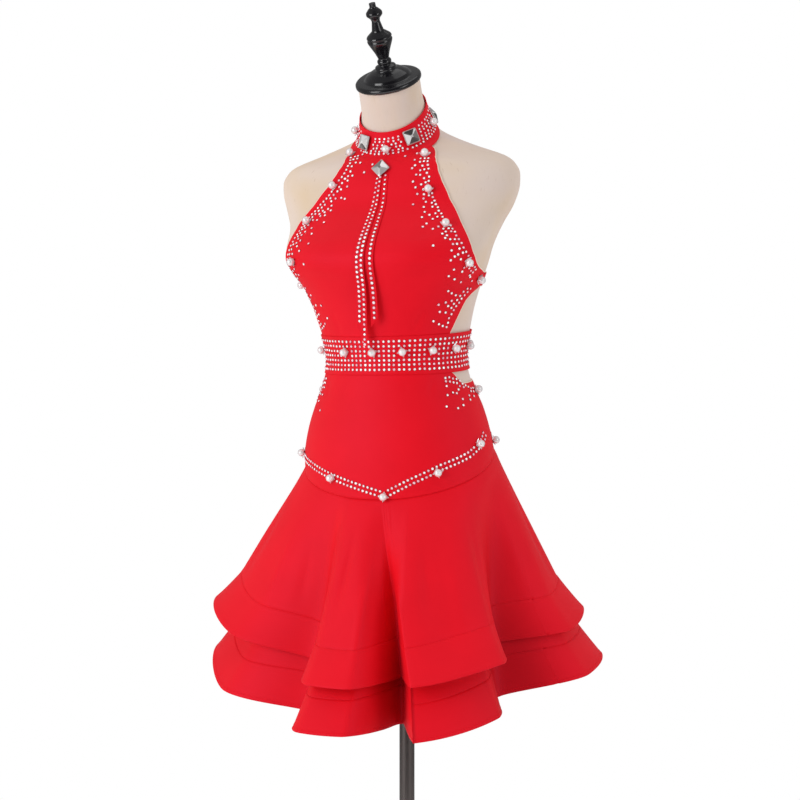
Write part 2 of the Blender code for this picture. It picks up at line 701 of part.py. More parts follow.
# ---- strips, stones, cap, pole and base ----------------------------------------------------------
def build_strip(name, material, column, ends):
    """One hanging strip, with a slanted end, on the bodice's middle."""
    share = np.linspace(0.0, 1.0, STRIP_ROWS)[:, None]
    across = np.linspace(-1.0, 1.0, 3)[None, :]
    low = ends[0] * (1.0 - across) / 2.0 + ends[1] * (1.0 + across) / 2.0
    level = STRIP_TOP * (1.0 - share) + low * share
    knots = STRIPS[::-1, 0]
    middle, half, standoff = (smooth_value(level, knots, STRIPS[::-1, k]) for k in (column, column + 1, 5))
    width = smooth_value(level, BODY[:, 0], BODY[:, 3]) + bust(0.0, level)
    angle = np.arcsin((middle + across * half) / width)
    inner = lifted(angle, level, OUTSIDE + standoff)
    outer = lifted(angle, level, OUTSIDE + standoff + STRIP_CLOTH)
    add_object(name, wall_mesh(name, outer, inner), material)


def build_stone(name, material, angle_deg, level, seat, size, turn_deg):
    """A square stone with a flat back, a thin girdle, sloped sides and a table."""
    angle = math.radians(angle_deg)
    centre = lifted(angle, level, OUTSIDE + seat)
    normal = Vector(normals_of(skin, angle, level))
    along = Vector(lifted(angle + STONE_TURN, level, OUTSIDE) - lifted(angle - STONE_TURN, level, OUTSIDE))
    side = (along - normal * along.dot(normal)).normalized()
    up = normal.cross(side)
    points = []
    for half, height in ((0.5, 0.0), (0.5, STONE_GIRDLE), (0.5 * STONE_TABLE, STONE_HEIGHT)):
        for corner in range(4):
            turn = math.radians(turn_deg + 45.0 + 90.0 * corner)
            reach = size * half * math.sqrt(2.0)
            way = side * math.cos(turn) * reach + up * math.sin(turn) * reach
            points.append(Vector(centre) + way + normal * height)
    faces = [(0, 1, 2, 3), (8, 9, 10, 11)]
    for base in (0, 4):
        for corner in range(4):
            after = (corner + 1) % 4
            faces.append((base + corner, base + after, base + 4 + after, base + 4 + corner))
    add_object(name, mesh_from(name, points, faces), material, 20.0)


def build_stones(material):
    """The collar's square stones and the one in front that the strips hang from."""
    for name, angle_deg, level, seat in COLLAR_STONES:
        build_stone(name, material, angle_deg, level, seat, STONE_SIZE, 0.0)
    build_stone("stone_front", material, 0.0, FRONT_STONE_LEVEL, FRONT_STONE_SEAT, FRONT_STONE_SIZE, 45.0)


def build_turned(name, material, profile, segments):
    """A solid turned round its own Z axis, from rings of radius and height, closed at both ends."""
    points = []
    for radius, height in profile:
        for k in range(segments):
            turn = 2.0 * math.pi * k / segments
            points.append((radius * math.cos(turn), radius * math.sin(turn), height))
    faces = [tuple(range(segments)), tuple(range(len(points) - segments, len(points)))]
    for ring in range(len(profile) - 1):
        for k in range(segments):
            a, b = ring * segments + k, ring * segments + (k + 1) % segments
            faces.append((a, b, b + segments, a + segments))
    return add_object(name, mesh_from(name, points, faces), material, 35.0)


def build_stand(black, steel):
    """The turned cap, square to the neck's top, and the pole on its weighted base."""
    cap = build_turned("neck_cap", black, CAP_PROFILE, CAP_SIDES)
    rim = lifted(ring_angles(FORM_COLUMNS), FORM_TOP, -FORM_INSET)
    front, back = rim[FORM_COLUMNS // 2], rim[0]
    lean = math.atan2(back[2] - front[2], back[1] - front[1])
    axis = np.array([0.0, -math.sin(lean), math.cos(lean)])
    middle = rim.mean(axis=0)
    highest = ((rim - middle) @ axis).max()
    cap.location = middle + axis * (highest + SEAM_GAP)
    cap.rotation_euler = (lean, 0.0, 0.0)
    pole_top = FORM_BOTTOM - SEAM_GAP
    flange_low = pole_top - POLE_FLANGE_HEIGHT
    build_turned("pole", steel, (
        (POLE_RADIUS, HUB_TOP + SEAM_GAP),
        (POLE_RADIUS, flange_low),
        (POLE_FLANGE, flange_low),
        (POLE_FLANGE, pole_top),
    ), POLE_SIDES)
    build_turned("base", steel, (
        (BASE_RADIUS, 0.0),
        (BASE_RADIUS, BASE_HEIGHT - BASE_EDGE),
        (BASE_RADIUS - BASE_EDGE, BASE_HEIGHT),
        (HUB_RADIUS, BASE_HEIGHT + BASE_RISE),
        (HUB_RADIUS, HUB_TOP - HUB_EDGE),
        (HUB_RADIUS - HUB_EDGE, HUB_TOP),
    ), BASE_SIDES)


def main():
    """Build every piece."""
    clear_scene()
    red = make_material("red_stretch_knit", (0.85, 0.02, 0.04), 0.6)
    canvas = make_material("form_canvas", (0.75, 0.66, 0.58), 0.9)
    glass = make_material("mirror_glass", (0.70, 0.72, 0.74), 0.08, 0.9)
    black = make_material("black_lacquer", (0.01, 0.01, 0.01), 0.15)
    steel = make_material("dark_steel", (0.12, 0.11, 0.11), 0.3, 1.0)
    build_form(canvas)
    build_bodice(red)
    build_collar(red)
    build_back_band(red)
    build_belt(red)
    build_yokes(red)
    build_skirt(red)
    build_strip("strip_left", red, 1, LEFT_STRIP_ENDS)
    build_strip("strip_right", red, 3, RIGHT_STRIP_ENDS)
    build_stones(glass)
    build_stand(black, steel)


main()
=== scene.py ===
# Looks of a red halter-neck Latin dance dress on a limbless dress form: knit panels, mirror stones,
# pearls and rhinestones, the jersey-covered form, its lacquered cap and its steel stand.
from math import atan2, cos, pi, radians, sin

import bpy
import numpy as np
from mathutils import Matrix, Vector


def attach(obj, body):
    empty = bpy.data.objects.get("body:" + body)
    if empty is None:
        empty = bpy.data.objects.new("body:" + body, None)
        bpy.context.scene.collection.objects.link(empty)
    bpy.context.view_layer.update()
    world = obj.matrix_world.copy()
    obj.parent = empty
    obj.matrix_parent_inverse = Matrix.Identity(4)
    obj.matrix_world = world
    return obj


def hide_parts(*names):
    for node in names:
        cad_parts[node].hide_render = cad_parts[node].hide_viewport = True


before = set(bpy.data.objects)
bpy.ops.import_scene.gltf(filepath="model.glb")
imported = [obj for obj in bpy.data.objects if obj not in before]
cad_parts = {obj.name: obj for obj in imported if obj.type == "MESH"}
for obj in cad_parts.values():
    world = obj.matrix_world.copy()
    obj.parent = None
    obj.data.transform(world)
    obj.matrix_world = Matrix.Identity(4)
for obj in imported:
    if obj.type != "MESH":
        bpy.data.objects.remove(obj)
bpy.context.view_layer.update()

RIDE, SEED = "root", 41

# ---- form and cut, as the solids have them ----
SEAM_GAP, OUTSIDE = 0.0003, 0.0023
# level, middle_y, tilt_deg (front down), half_width, front_depth, back_depth
BODY = np.array([
    (0.8, -0.03, 0.0, 0.118, 0.08, 0.085), (0.86, -0.031, 0.0, 0.129, 0.09, 0.096),
    (0.92, -0.033, 2.0, 0.136, 0.098, 0.104), (0.965, -0.035, 4.0, 0.1375, 0.1, 0.104),
    (1.0, -0.036, 5.0, 0.131, 0.098, 0.096), (1.037, -0.037, 6.5, 0.119, 0.092, 0.086),
    (1.066, -0.039, 8.0, 0.1075, 0.086, 0.08), (1.1, -0.042, 8.0, 0.1015, 0.083, 0.079),
    (1.139, -0.045, 7.0, 0.109, 0.086, 0.086), (1.168, -0.05, 6.0, 0.1165, 0.088, 0.094),
    (1.198, -0.054, 5.0, 0.1265, 0.09, 0.102), (1.227, -0.056, 4.0, 0.137, 0.09, 0.106),
    (1.256, -0.053, 4.0, 0.145, 0.086, 0.106), (1.285, -0.041, 4.0, 0.1555, 0.086, 0.104),
    (1.314, -0.033, 4.0, 0.171, 0.08, 0.096), (1.344, -0.031, 5.0, 0.18, 0.076, 0.08),
    (1.365, -0.032, 8.0, 0.177, 0.07, 0.066), (1.381, -0.033, 12.0, 0.159, 0.065, 0.058),
    (1.395, -0.035, 20.0, 0.116, 0.062, 0.054), (1.412, -0.038, 31.0, 0.065, 0.06, 0.056),
    (1.43, -0.046, 36.0, 0.053, 0.052, 0.052), (1.447, -0.054, 38.0, 0.047, 0.0475, 0.0475),
    (1.489, -0.073, 33.0, 0.044, 0.044, 0.044),
])
FORM_BOTTOM, FORM_TOP = 0.800, 1.487
BUST_REACH, BUST_LEVEL, BUST_ABOVE, BUST_BELOW = 0.026, 1.246, 0.048, 0.038
BUST_ANGLE, BUST_SPREAD, BUST_HOLLOW = radians(48.0), radians(30.0), 0.22
BELT_BOTTOM, BELT_TOP, BELT_RISE = 1.080, 1.135, 0.0040
COLLAR_BOTTOM, COLLAR_TOP, COLLAR_DIP = 1.413, 1.451, 0.0075
BAND_BOTTOM, BAND_TOP, BAND_SIDE = 1.198, 1.216, radians(92.0)
# level, left_half_angle_deg, right_half_angle_deg
BODICE_EDGE = np.array([
    (1.135, 61.0, 61.0), (1.158, 67.5, 67.5), (1.18, 73.0, 73.0), (1.19, 79.5, 79.5), (1.198, 92.0, 92.0),
    (1.216, 92.0, 92.0), (1.22, 75.0, 75.0), (1.229, 64.5, 64.5), (1.243, 57.0, 57.0), (1.255, 53.5, 53.5),
    (1.27, 49.5, 51.0), (1.292, 43.5, 47.0), (1.318, 35.0, 36.0), (1.344, 29.5, 27.0), (1.362, 27.2, 23.3),
    (1.38, 28.0, 22.5), (1.392, 33.0, 26.5), (1.403, 43.0, 35.5), (1.413, 60.5, 50.0),
])
LEFT_EDGE, RIGHT_EDGE = 1, 2
CORNER_TAPS = np.linspace(-0.0035, 0.0035, 7)    # the turned edge rounds the corners of the side edges
BODICE_STRAIGHT = 1.380
HIP_SEAM_MIDDLE, HIP_SEAM_DIP = 0.951, 0.050
SIDE_CUT_DEPTH, SIDE_CUT_FRONT, SIDE_CUT_FULL = 0.018, radians(64.0), radians(76.0)
BACK_CUT_END, BACK_CUT_RUN = radians(160.0), radians(25.0)
HIP_ANGLE, HEM_ANGLE, UPPER_RADIUS, LOWER_RADIUS, UPPER_LIFT, LOWER_LIFT = range(6)
# hip_angle_deg, hem_angle_deg, upper_radius, lower_radius, upper_lift, lower_lift
FOLDS = np.array([
    (-20.0, -11.0, 0.226, 0.249, 0.0, 0.008), (-4.0, 3.0, 0.229, 0.245, 0.0, 0.008),
    (7.0, 14.5, 0.172, 0.178, 0.0, 0.004), (11.0, 22.0, 0.142, 0.148, 0.0, 0.004),
    (14.0, 24.5, 0.23, 0.245, 0.0, -0.003), (59.0, 57.0, 0.236, 0.23, 0.008, 0.0),
    (84.0, 77.0, 0.158, 0.166, 0.004, -0.008), (100.0, 97.0, 0.252, 0.276, 0.006, 0.003),
    (116.0, 114.0, 0.266, 0.295, 0.014, 0.006), (132.0, 131.0, 0.165, 0.175, 0.0, 0.0),
    (155.0, 154.0, 0.258, 0.282, 0.0, 0.0), (178.0, 177.0, 0.162, 0.172, 0.0, 0.0),
    (200.0, 199.0, 0.25, 0.275, 0.0, 0.0), (221.0, 221.0, 0.165, 0.175, 0.0, 0.0),
    (242.0, 242.0, 0.255, 0.28, 0.0, 0.0), (261.0, 260.0, 0.185, 0.195, 0.012, 0.004),
    (277.0, 274.0, 0.281, 0.282, 0.044, 0.034), (297.0, 297.0, 0.243, 0.255, 0.022, 0.005),
    (328.0, 326.0, 0.142, 0.15, 0.008, 0.002),
])
SKIRT_MIDDLE_Y = -0.032
HIP_HALF_WIDTH, HIP_DEPTH = 0.1375, 0.102
# each hem: its lift column, its middle level and how much lower it hangs in front
TIER_HEMS = {"upper": (UPPER_LIFT, 0.705, 0.047), "lower": (LOWER_LIFT, 0.645, 0.053)}
SHOWN = {"upper": (0.0, 1.0), "lower": (1.0, 2.0)}    # the falls between which each tier shows
LOWER_TOP_DROP, LAYER_ROOM = 0.014, 0.0030
HEM_BAND, HEM_FLARE, BAND_SHARE = 0.052, 0.11, 0.80
PLACE_STEP, FALL_STEP, FOLD_TURNING, FLARE_CURVE = 0.01, 0.002, 0.8, 1.2
EASE_DEG, EASE_ENDS, EASE_TAPS = 9.0, 0.60, (-1.0, -0.6, -0.2, 0.2, 0.6, 1.0)
CRISP_ROW, CRISP = 5, 0.6    # the cloth turns over this row's ridge more sharply than over the others


# ---- surfaces ----
def all_round(count):
    """Even angles all round, from the back."""
    return np.linspace(-pi, pi, count, endpoint=False)


def unit(vectors):
    """Vectors brought to length 1."""
    return vectors / np.linalg.norm(vectors, axis=-1, keepdims=True)


def run_along(points):
    """How far along a line each of its points lies."""
    return np.concatenate([[0.0], np.cumsum(np.linalg.norm(np.diff(points, axis=0), axis=1))])


def heading(points):
    """The direction that a line takes at each of its points."""
    return unit(np.gradient(points, axis=0))


def taken(at, run, rows):
    """The rows of a line's table at given distances along it."""
    return np.stack([np.interp(at, run, column) for column in rows.T], axis=1)


def soft_step(share):
    """A share from 0 to 1 with a soft start and end."""
    return share * share * (3.0 - 2.0 * share)


def hermite(f, span, values, slopes):
    """A cubic between two knots, from its value and its slope at each."""
    start = (1.0 + 2.0 * f) * (1.0 - f) ** 2 * values[0] + f * (1.0 - f) ** 2 * span * slopes[0]
    end = f * f * (3.0 - 2.0 * f) * values[1] + f * f * (f - 1.0) * span * slopes[1]
    return start + end


def smooth_value(at, knots, values):
    """A smooth curve through a table's column."""
    slopes = np.gradient(values, knots)
    at = np.clip(at, knots[0], knots[-1])
    k = np.clip(np.searchsorted(knots, at, side="right") - 1, 0, len(knots) - 2)
    span = knots[k + 1] - knots[k]
    return hermite((at - knots[k]) / span, span, (values[k], values[k + 1]), (slopes[k], slopes[k + 1]))


def from_front(angle):
    """How far an angle is turned from the front, either way round."""
    return np.abs(np.arctan2(np.sin(angle), np.cos(angle)))


def bust(angle, level):
    """How far the bust lifts the skin at a place."""
    turn = from_front(angle)
    inside = 1.0 - BUST_HOLLOW * np.cos(turn / BUST_ANGLE * pi / 2.0) ** 2
    outside = np.exp(-((turn - BUST_ANGLE) / BUST_SPREAD) ** 2)
    around = np.where(turn < BUST_ANGLE, inside, outside)
    reach = np.where(level > BUST_LEVEL, BUST_ABOVE, BUST_BELOW)
    return BUST_REACH * around * np.exp(-((level - BUST_LEVEL) / reach) ** 2)


def skin(angle, level):
    """The form's surface at an angle round the body and a level up it."""
    angle, level = np.broadcast_arrays(np.asarray(angle, float), np.asarray(level, float))
    middle, tilt, width, front, back = (smooth_value(level, BODY[:, 0], BODY[:, k]) for k in range(1, 6))
    tilt = np.radians(tilt)
    depth = np.where(np.cos(angle) > 0.0, front, back)
    lift = bust(angle, level)
    across = (width + lift) * np.sin(angle)
    ahead = -(depth + lift) * np.cos(angle)
    return np.stack([across, middle + ahead * np.cos(tilt), level + ahead * np.sin(tilt)], axis=-1)


def skin_normals(angle, level, step=0.0005):
    """Outward unit normals of the form's skin."""
    level = np.clip(level, FORM_BOTTOM + 0.001, FORM_TOP - 0.001)
    round_it = skin(angle + 2.0 * step, level) - skin(angle - 2.0 * step, level)
    up_it = skin(angle, level + step) - skin(angle, level - step)
    return unit(np.cross(round_it, up_it))


def lifted(angle, level, out):
    """A point that stands off the form's skin by a distance."""
    angle, level = np.broadcast_arrays(np.asarray(angle, float), np.asarray(level, float))
    return skin(angle, level) + skin_normals(angle, level) * np.asarray(out)[..., None]


def collar_edge(level, angle):
    """An edge of the collar, a little lower in front."""
    return level - COLLAR_DIP * np.cos(angle)


def hip_seam_level(angle):
    """The level of the seam that carries the skirt."""
    return HIP_SEAM_MIDDLE - HIP_SEAM_DIP * np.cos(angle)


def belt_bottom_level(angle):
    """The belt's lower edge, pulled up a little in front."""
    return BELT_BOTTOM + BELT_RISE * np.maximum(np.cos(angle), 0.0) ** 2


def yoke_top_level(angle):
    """The yoke's upper edge: under the belt, cut lower at the sides."""
    turn = from_front(angle)
    full = np.clip((turn - SIDE_CUT_FRONT) / (SIDE_CUT_FULL - SIDE_CUT_FRONT), 0.0, 1.0)
    back = np.clip((BACK_CUT_END - turn) / BACK_CUT_RUN, 0.0, 1.0)
    return belt_bottom_level(angle) - SEAM_GAP - SIDE_CUT_DEPTH * soft_step(np.minimum(full, back))


def bodice_half_angle(level, side):
    """The bodice's width round the body on one side of its middle."""
    widths = [np.interp(level + tap, BODICE_EDGE[:, 0], BODICE_EDGE[:, side]) for tap in CORNER_TAPS]
    return np.radians(sum(widths) / len(CORNER_TAPS))


def bodice_level(base, angle):
    """The level of a place on the bodice: its rows bend to follow the collar at the top."""
    top = collar_edge(COLLAR_BOTTOM, angle) - SEAM_GAP
    share = (base - BODICE_STRAIGHT) / (COLLAR_BOTTOM - BODICE_STRAIGHT)
    return np.where(base > BODICE_STRAIGHT, BODICE_STRAIGHT + share * (top - BODICE_STRAIGHT), base)


def fold_value(place, column):
    """One column of the fold table, smooth round the skirt, at a place counted in table rows."""
    count = len(FOLDS)
    row = np.floor(place).astype(int)
    f = place - row
    here, after = row % count, (row + 1) % count
    values = FOLDS[:, column]
    spans = np.diff(FOLDS[:, HEM_ANGLE], append=FOLDS[0, HEM_ANGLE] + 360.0)
    rates = (np.roll(values, -1) - values) / spans
    before = np.roll(rates, 1)
    same_way = rates * before > 0.0
    slopes = np.where(same_way, 2.0 * rates * before / np.where(same_way, rates + before, 1.0), 0.0)
    edge = CRISP * f * (1.0 - f) ** 3 * (values[after] - values[here]) * (here == CRISP_ROW)
    return hermite(f, spans[here], (values[here], values[after]), (slopes[here], slopes[after])) + edge


def eased_radius(place, column, share):
    """A radius of the folds, evened out near the seam, where the cloth turns less sharply."""
    spread = EASE_DEG * np.clip(1.0 - share / EASE_ENDS, 0.0, 1.0)
    middle = np.degrees(fold_angle(place, HEM_ANGLE))
    rows = np.arange(-len(FOLDS), 2 * len(FOLDS))
    angles = np.concatenate([FOLDS[:, HEM_ANGLE] + turn for turn in (-360.0, 0.0, 360.0)])
    taps = [fold_value(np.interp(middle + tap * spread, angles, rows), column) for tap in EASE_TAPS]
    return sum(taps) / len(taps)


def fold_angle(place, column):
    """The direction of a place on the folds, from one of the table's angle columns."""
    row = np.floor(place).astype(int)
    start, end = (FOLDS[k % len(FOLDS), column] + 360.0 * (k // len(FOLDS)) for k in (row, row + 1))
    return np.radians(start + (end - start) * (place - row))


def ring_angle_of(direction):
    """The skin's angle that lies in a direction from the skirt's middle, near the hip seam."""
    return np.arctan2(np.sin(direction) / HIP_HALF_WIDTH, np.cos(direction) / HIP_DEPTH)


def hem_level(tier, place):
    """The level of a tier's hem."""
    lift, middle, dip = TIER_HEMS[tier]
    return middle - dip * np.cos(fold_angle(place, HEM_ANGLE)) + fold_value(place, lift)


def opened(share):
    """How far a cloth has opened out at a share of its fall: a cone with a flare in its hem band."""
    flared = np.clip((share - BAND_SHARE) / (1.0 - BAND_SHARE), 0.0, 1.0)
    return (1.0 - HEM_FLARE) * share + HEM_FLARE * flared ** FLARE_CURVE


def clear_of_body(radius, ring, height, depth):
    """A skirt radius kept outside the hips, with room for the lower tier a little below the seam."""
    room = LAYER_ROOM * np.clip(depth / LOWER_TOP_DROP, 0.0, 1.0)
    level = height - (skin(ring, height)[..., 2] - height)
    body = lifted(ring, level, OUTSIDE + room)
    least = np.hypot(body[..., 0], body[..., 1] - SKIRT_MIDDLE_Y)
    return 0.5 * (radius + least + np.sqrt((radius - least) ** 2 + room ** 2))


# soft troughs and ridges of the upper tier's cloth
# angle_deg, from_fall, to_fall, half_width_deg, depth (ridge < 0)
UPPER_CREASES = np.array([
    (-24.0, 0.18, 0.95, 3.2, 0.0032), (-9.0, 0.12, 0.7, 2.4, 0.0026), (4.0, 0.25, 1.0, 2.0, -0.0026),
    (40.0, 0.05, 1.2, 9.0, 0.005), (34.0, 0.15, 0.8, 3.4, 0.002), (47.0, 0.22, 1.0, 2.8, -0.0014),
    (62.0, 0.15, 0.85, 2.6, 0.0034), (90.0, 0.2, 0.95, 2.2, -0.003), (106.0, 0.15, 0.9, 2.8, 0.0036),
    (122.0, 0.3, 1.0, 2.0, -0.0026), (146.0, 0.2, 0.9, 2.6, 0.003), (163.0, 0.25, 0.85, 2.4, 0.0026),
    (190.0, 0.2, 0.95, 2.6, -0.0028), (207.0, 0.15, 0.8, 2.2, 0.003), (234.0, 0.22, 0.9, 3.0, 0.003),
    (249.0, 0.3, 1.0, 2.0, -0.0026), (268.0, 0.2, 0.85, 2.6, 0.0032), (283.0, 0.15, 0.9, 3.0, 0.0034),
    (303.0, 0.2, 0.95, 2.6, -0.003), (314.0, 0.25, 0.8, 2.2, 0.0026), (341.0, 0.2, 0.9, 2.6, 0.0028),
])


def skirt_crease(direction, fall):
    """The summed depth of the upper tier's creases at a place."""
    depth = np.zeros(np.broadcast(direction, fall).shape)
    for angle_deg, first, last, half_width_deg, deep in UPPER_CREASES:
        away = np.degrees(np.angle(np.exp(1j * (direction - radians(angle_deg)))))
        run = np.clip((fall - first) / (last - first), 0.0, 1.0)
        depth += deep * np.exp(-(away / half_width_deg) ** 2) * np.sin(pi * run) ** 2
    return depth


def skirt_surface(tier, place, fall):
    """A tier's outer surface, for a place round it and a fall: 0 at the seam, 1 and 2 at the two hems."""
    place, fall = np.broadcast_arrays(np.asarray(place, float), np.asarray(fall, float))
    covered = np.clip(fall, 0.0, 1.0)
    below = np.maximum(fall - 1.0, 0.0)
    turned = covered ** FOLD_TURNING
    direction = fold_angle(place, HIP_ANGLE) * (1.0 - turned) + fold_angle(place, HEM_ANGLE) * turned
    ring = ring_angle_of(direction)
    top = lifted(ring, hip_seam_level(ring) - SEAM_GAP, OUTSIDE)
    top_radius = np.hypot(top[..., 0], top[..., 1] - SKIRT_MIDDLE_Y)
    upper, lower = hem_level("upper", place), hem_level("lower", place)
    level = top[..., 2] - (top[..., 2] - upper) * covered - (upper - lower) * below
    depth = top[..., 2] - level
    radius = top_radius + (eased_radius(place, UPPER_RADIUS, covered) - top_radius) * opened(covered)
    if tier == "lower":
        cover = radius + (upper - lower) * below
        share = depth / (top[..., 2] - lower)
        reach = top_radius + (eased_radius(place, LOWER_RADIUS, share) - top_radius) * opened(share)
        radius = 0.5 * (reach + cover - np.sqrt((reach - cover) ** 2 + LAYER_ROOM ** 2))
    else:
        radius = radius - skirt_crease(direction, fall)
    radius = clear_of_body(radius, ring, level, depth)
    across = top[..., 0] / top_radius * radius
    ahead = (top[..., 1] - SKIRT_MIDDLE_Y) / top_radius * radius
    return np.stack([across, ahead + SKIRT_MIDDLE_Y, level], axis=-1)


def skirt_normals(tier, place, fall):
    """Outward unit normals of a tier's surface."""
    fall = np.maximum(fall, FALL_STEP)
    along = skirt_surface(tier, place + PLACE_STEP, fall) - skirt_surface(tier, place - PLACE_STEP, fall)
    down = skirt_surface(tier, place, fall) - skirt_surface(tier, place, fall - FALL_STEP)
    return unit(np.cross(down, along))


# ---- materials ----
def linear(code):
    """An sRGB hex colour as a linear colour with alpha."""
    parts = [int(code[k:k + 2], 16) / 255.0 for k in (1, 3, 5)]
    return (*(p / 12.92 if p <= 0.04045 else ((p + 0.055) / 1.055) ** 2.4 for p in parts), 1.0)


def feed(tree, node, links):
    """Links other nodes' outputs to a node's sockets."""
    for name, (source, socket) in links.items():
        tree.links.new(source.outputs[socket], node.inputs[name])


def add(tree, kind, settings=None, values=None, links=None, stops=()):
    """Adds a node with its settings, its sockets' values, what feeds them and its colours' stops."""
    node = tree.nodes.new("ShaderNode" + kind)
    for name, value in (settings or {}).items():
        setattr(node, name, value)
    for name, value in (values or {}).items():
        node.inputs[name].default_value = value
    feed(tree, node, links or {})
    elements = node.color_ramp.elements if stops else ()
    while len(elements) < len(stops):
        elements.new(0.5)
    for element, (position, colour) in zip(elements, stops):
        element.position = position
        element.color = colour
    return node


def new_finish(name, values):
    """A material with its shader's constant values set. Returns the material, its tree and its shader."""
    material = bpy.data.materials.new(name)
    material.use_nodes = True
    tree = material.node_tree
    shader = tree.nodes["Principled BSDF"]
    for socket, value in values.items():
        shader.inputs[socket].default_value = value
    return material, tree, shader


WHITE = (1.0, 1.0, 1.0, 1.0)
WAVE_PERIOD = 0.314    # a wave texture of scale 1 repeats in this distance
# the knit's real wales lie 0.5 mm apart and wouldn't show, so they and the elastic's ribs are drawn coarser
WALE, COURSE, ELASTIC_RIB = 0.0030, 0.0036, 0.0016


def dance_knit():
    """Polyester and elastane dance crepe: matt, smooth, with a faint grain and a soft bloom when grazed,
    painted shade in the skirt's troughs.
    """
    material, tree, shader = new_finish("polyester_dance_crepe", {
        "Roughness": 0.62, "Specular IOR Level": 0.36, "Specular Tint": linear("#FFA8E0"),
        "Sheen Weight": 0.02, "Sheen Roughness": 0.50, "Sheen Tint": linear("#FF80B0"),
    })
    cut = add(tree, "UVMap", {"uv_map": "cut"})
    on_cut = {"Vector": (cut, "UV")}
    cloud = add(tree, "TexNoise", values={"Scale": 14.0, "Detail": 2.0}, links=on_cut)
    tone = add(tree, "ValToRGB", links={"Fac": (cloud, "Fac")},
               stops=((0.30, linear("#E80713")), (0.70, linear("#EE0916"))))
    # painted shade: a mark on each point darkens the knit deep in the skirt's troughs
    painted_shade = add(tree, "Attribute", {"attribute_name": "painted_shade"})
    shade = add(tree, "ValToRGB", links={"Fac": (painted_shade, "Fac")},
                stops=((0.0, WHITE), (1.0, linear("#D2A6A6"))))
    shaded_tone = add(tree, "MixRGB", {"blend_type": "MULTIPLY"}, {"Fac": 1.0},
               {"Color1": (tone, "Color"), "Color2": (shade, "Color")})
    wale = add(tree, "TexWave", {"bands_direction": "X"},
               {"Scale": WAVE_PERIOD / WALE, "Distortion": 0.6, "Detail": 1.0}, on_cut)
    course = add(tree, "TexWave", {"bands_direction": "Y"},
                 {"Scale": WAVE_PERIOD / COURSE, "Distortion": 0.6, "Detail": 1.0}, on_cut)
    grain = add(tree, "TexNoise", values={"Scale": 900.0, "Detail": 3.0}, links=on_cut)
    loops = add(tree, "Math", {"operation": "MULTIPLY"}, links={0: (wale, "Fac"), 1: (course, "Fac")})
    relief = add(tree, "Math", {"operation": "ADD"}, links={0: (loops, "Value"), 1: (grain, "Fac")})
    bump = add(tree, "Bump", values={"Strength": 0.12, "Distance": 0.0004},
               links={"Height": (relief, "Value")})
    feed(tree, shader, {"Base Color": (shaded_tone, "Color"), "Normal": (bump, "Normal")})
    return material


def nude_elastic():
    """Narrow woven elastic: flat, matt, beige against the red, with ribs across it."""
    material, tree, shader = new_finish("woven_nude_elastic", {
        "Roughness": 0.75, "Specular IOR Level": 0.25,
    })
    cut = add(tree, "UVMap", {"uv_map": "cut"})
    rib = add(tree, "TexWave", {"bands_direction": "Y"}, {"Scale": WAVE_PERIOD / ELASTIC_RIB},
              {"Vector": (cut, "UV")})
    tone = add(tree, "ValToRGB", links={"Fac": (rib, "Fac")},
               stops=((0.0, linear("#F2DCC6")), (1.0, linear("#FCEFE2"))))
    feed(tree, shader, {"Base Color": (tone, "Color")})
    return material


def ecru_jersey():
    """Unbleached cotton jersey pulled over the form: dry and matt, with slubs and yellower patches."""
    material, tree, shader = new_finish("unbleached_cotton_jersey", {
        "Roughness": 0.88, "Specular IOR Level": 0.22,
    })
    cut = add(tree, "UVMap", {"uv_map": "cut"})
    on_cut = {"Vector": (cut, "UV")}
    patch = add(tree, "TexNoise", values={"Scale": 7.0, "Detail": 3.0}, links=on_cut)
    tone = add(tree, "ValToRGB", links={"Fac": (patch, "Fac")},
               stops=((0.32, linear("#E0CFC7")), (0.52, linear("#E2CFC0")), (0.70, linear("#E0C9AE"))))
    stretch = add(tree, "Mapping", values={"Scale": (1.0, 0.16, 1.0)}, links=on_cut)
    slub = add(tree, "TexNoise", values={"Scale": 420.0, "Detail": 2.0},
               links={"Vector": (stretch, "Vector")})
    fleck = add(tree, "ValToRGB", links={"Fac": (slub, "Fac")},
                stops=((0.66, WHITE), (0.80, linear("#CDB9A6"))))
    mixed = add(tree, "MixRGB", {"blend_type": "MULTIPLY"}, {"Fac": 0.55},
                {"Color1": (tone, "Color"), "Color2": (fleck, "Color")})
    dent = add(tree, "TexNoise", values={"Scale": 26.0, "Detail": 3.0}, links=on_cut)
    relief = add(tree, "Math", {"operation": "ADD"}, links={0: (slub, "Fac"), 1: (dent, "Fac")})
    bump = add(tree, "Bump", values={"Strength": 0.25, "Distance": 0.0008},
               links={"Height": (relief, "Value")})
    feed(tree, shader, {"Base Color": (mixed, "Color"), "Normal": (bump, "Normal")})
    return material


def foiled_crystal(name, metallic, sparkle, tones):
    """Machine-cut glass with a silver foil: each flat facet takes the tone of its tint. On the square
    stones these are painted reflections of the studio's bright and dark sides; on the round stones the dark
    rim is painted shade.

    The sparkle is painted light: a little glow of its own, standing in for the light that the foil sends
    back through the glass.
    """
    values = {"Metallic": metallic, "Roughness": 0.10, "Emission Strength": sparkle}
    material, tree, shader = new_finish(name, values)
    tint = add(tree, "Attribute", {"attribute_name": "tint"})
    stops = [(position, linear(code)) for position, code in tones]
    tone = add(tree, "ValToRGB", links={"Fac": (tint, "Fac")}, stops=stops)
    feed(tree, shader, {"Base Color": (tone, "Color"), "Emission Color": (tone, "Color")})
    return material


# the crowns take white to pink at random; the last, dark red stop is painted shade for each stone's rim
ROUND_STONE_TONES = ((0.0, "#FFFFFF"), (0.4, "#FFEBF0"), (0.8, "#F4AFC0"), (0.9, "#6E0E1C"))
# painted reflections: white to near black facets stand in for the bright and dark studio seen in the foil
SQUARE_STONE_TONES = ((0.0, "#FFFFFF"), (0.5, "#8C8886"), (1.0, "#2B2929"))


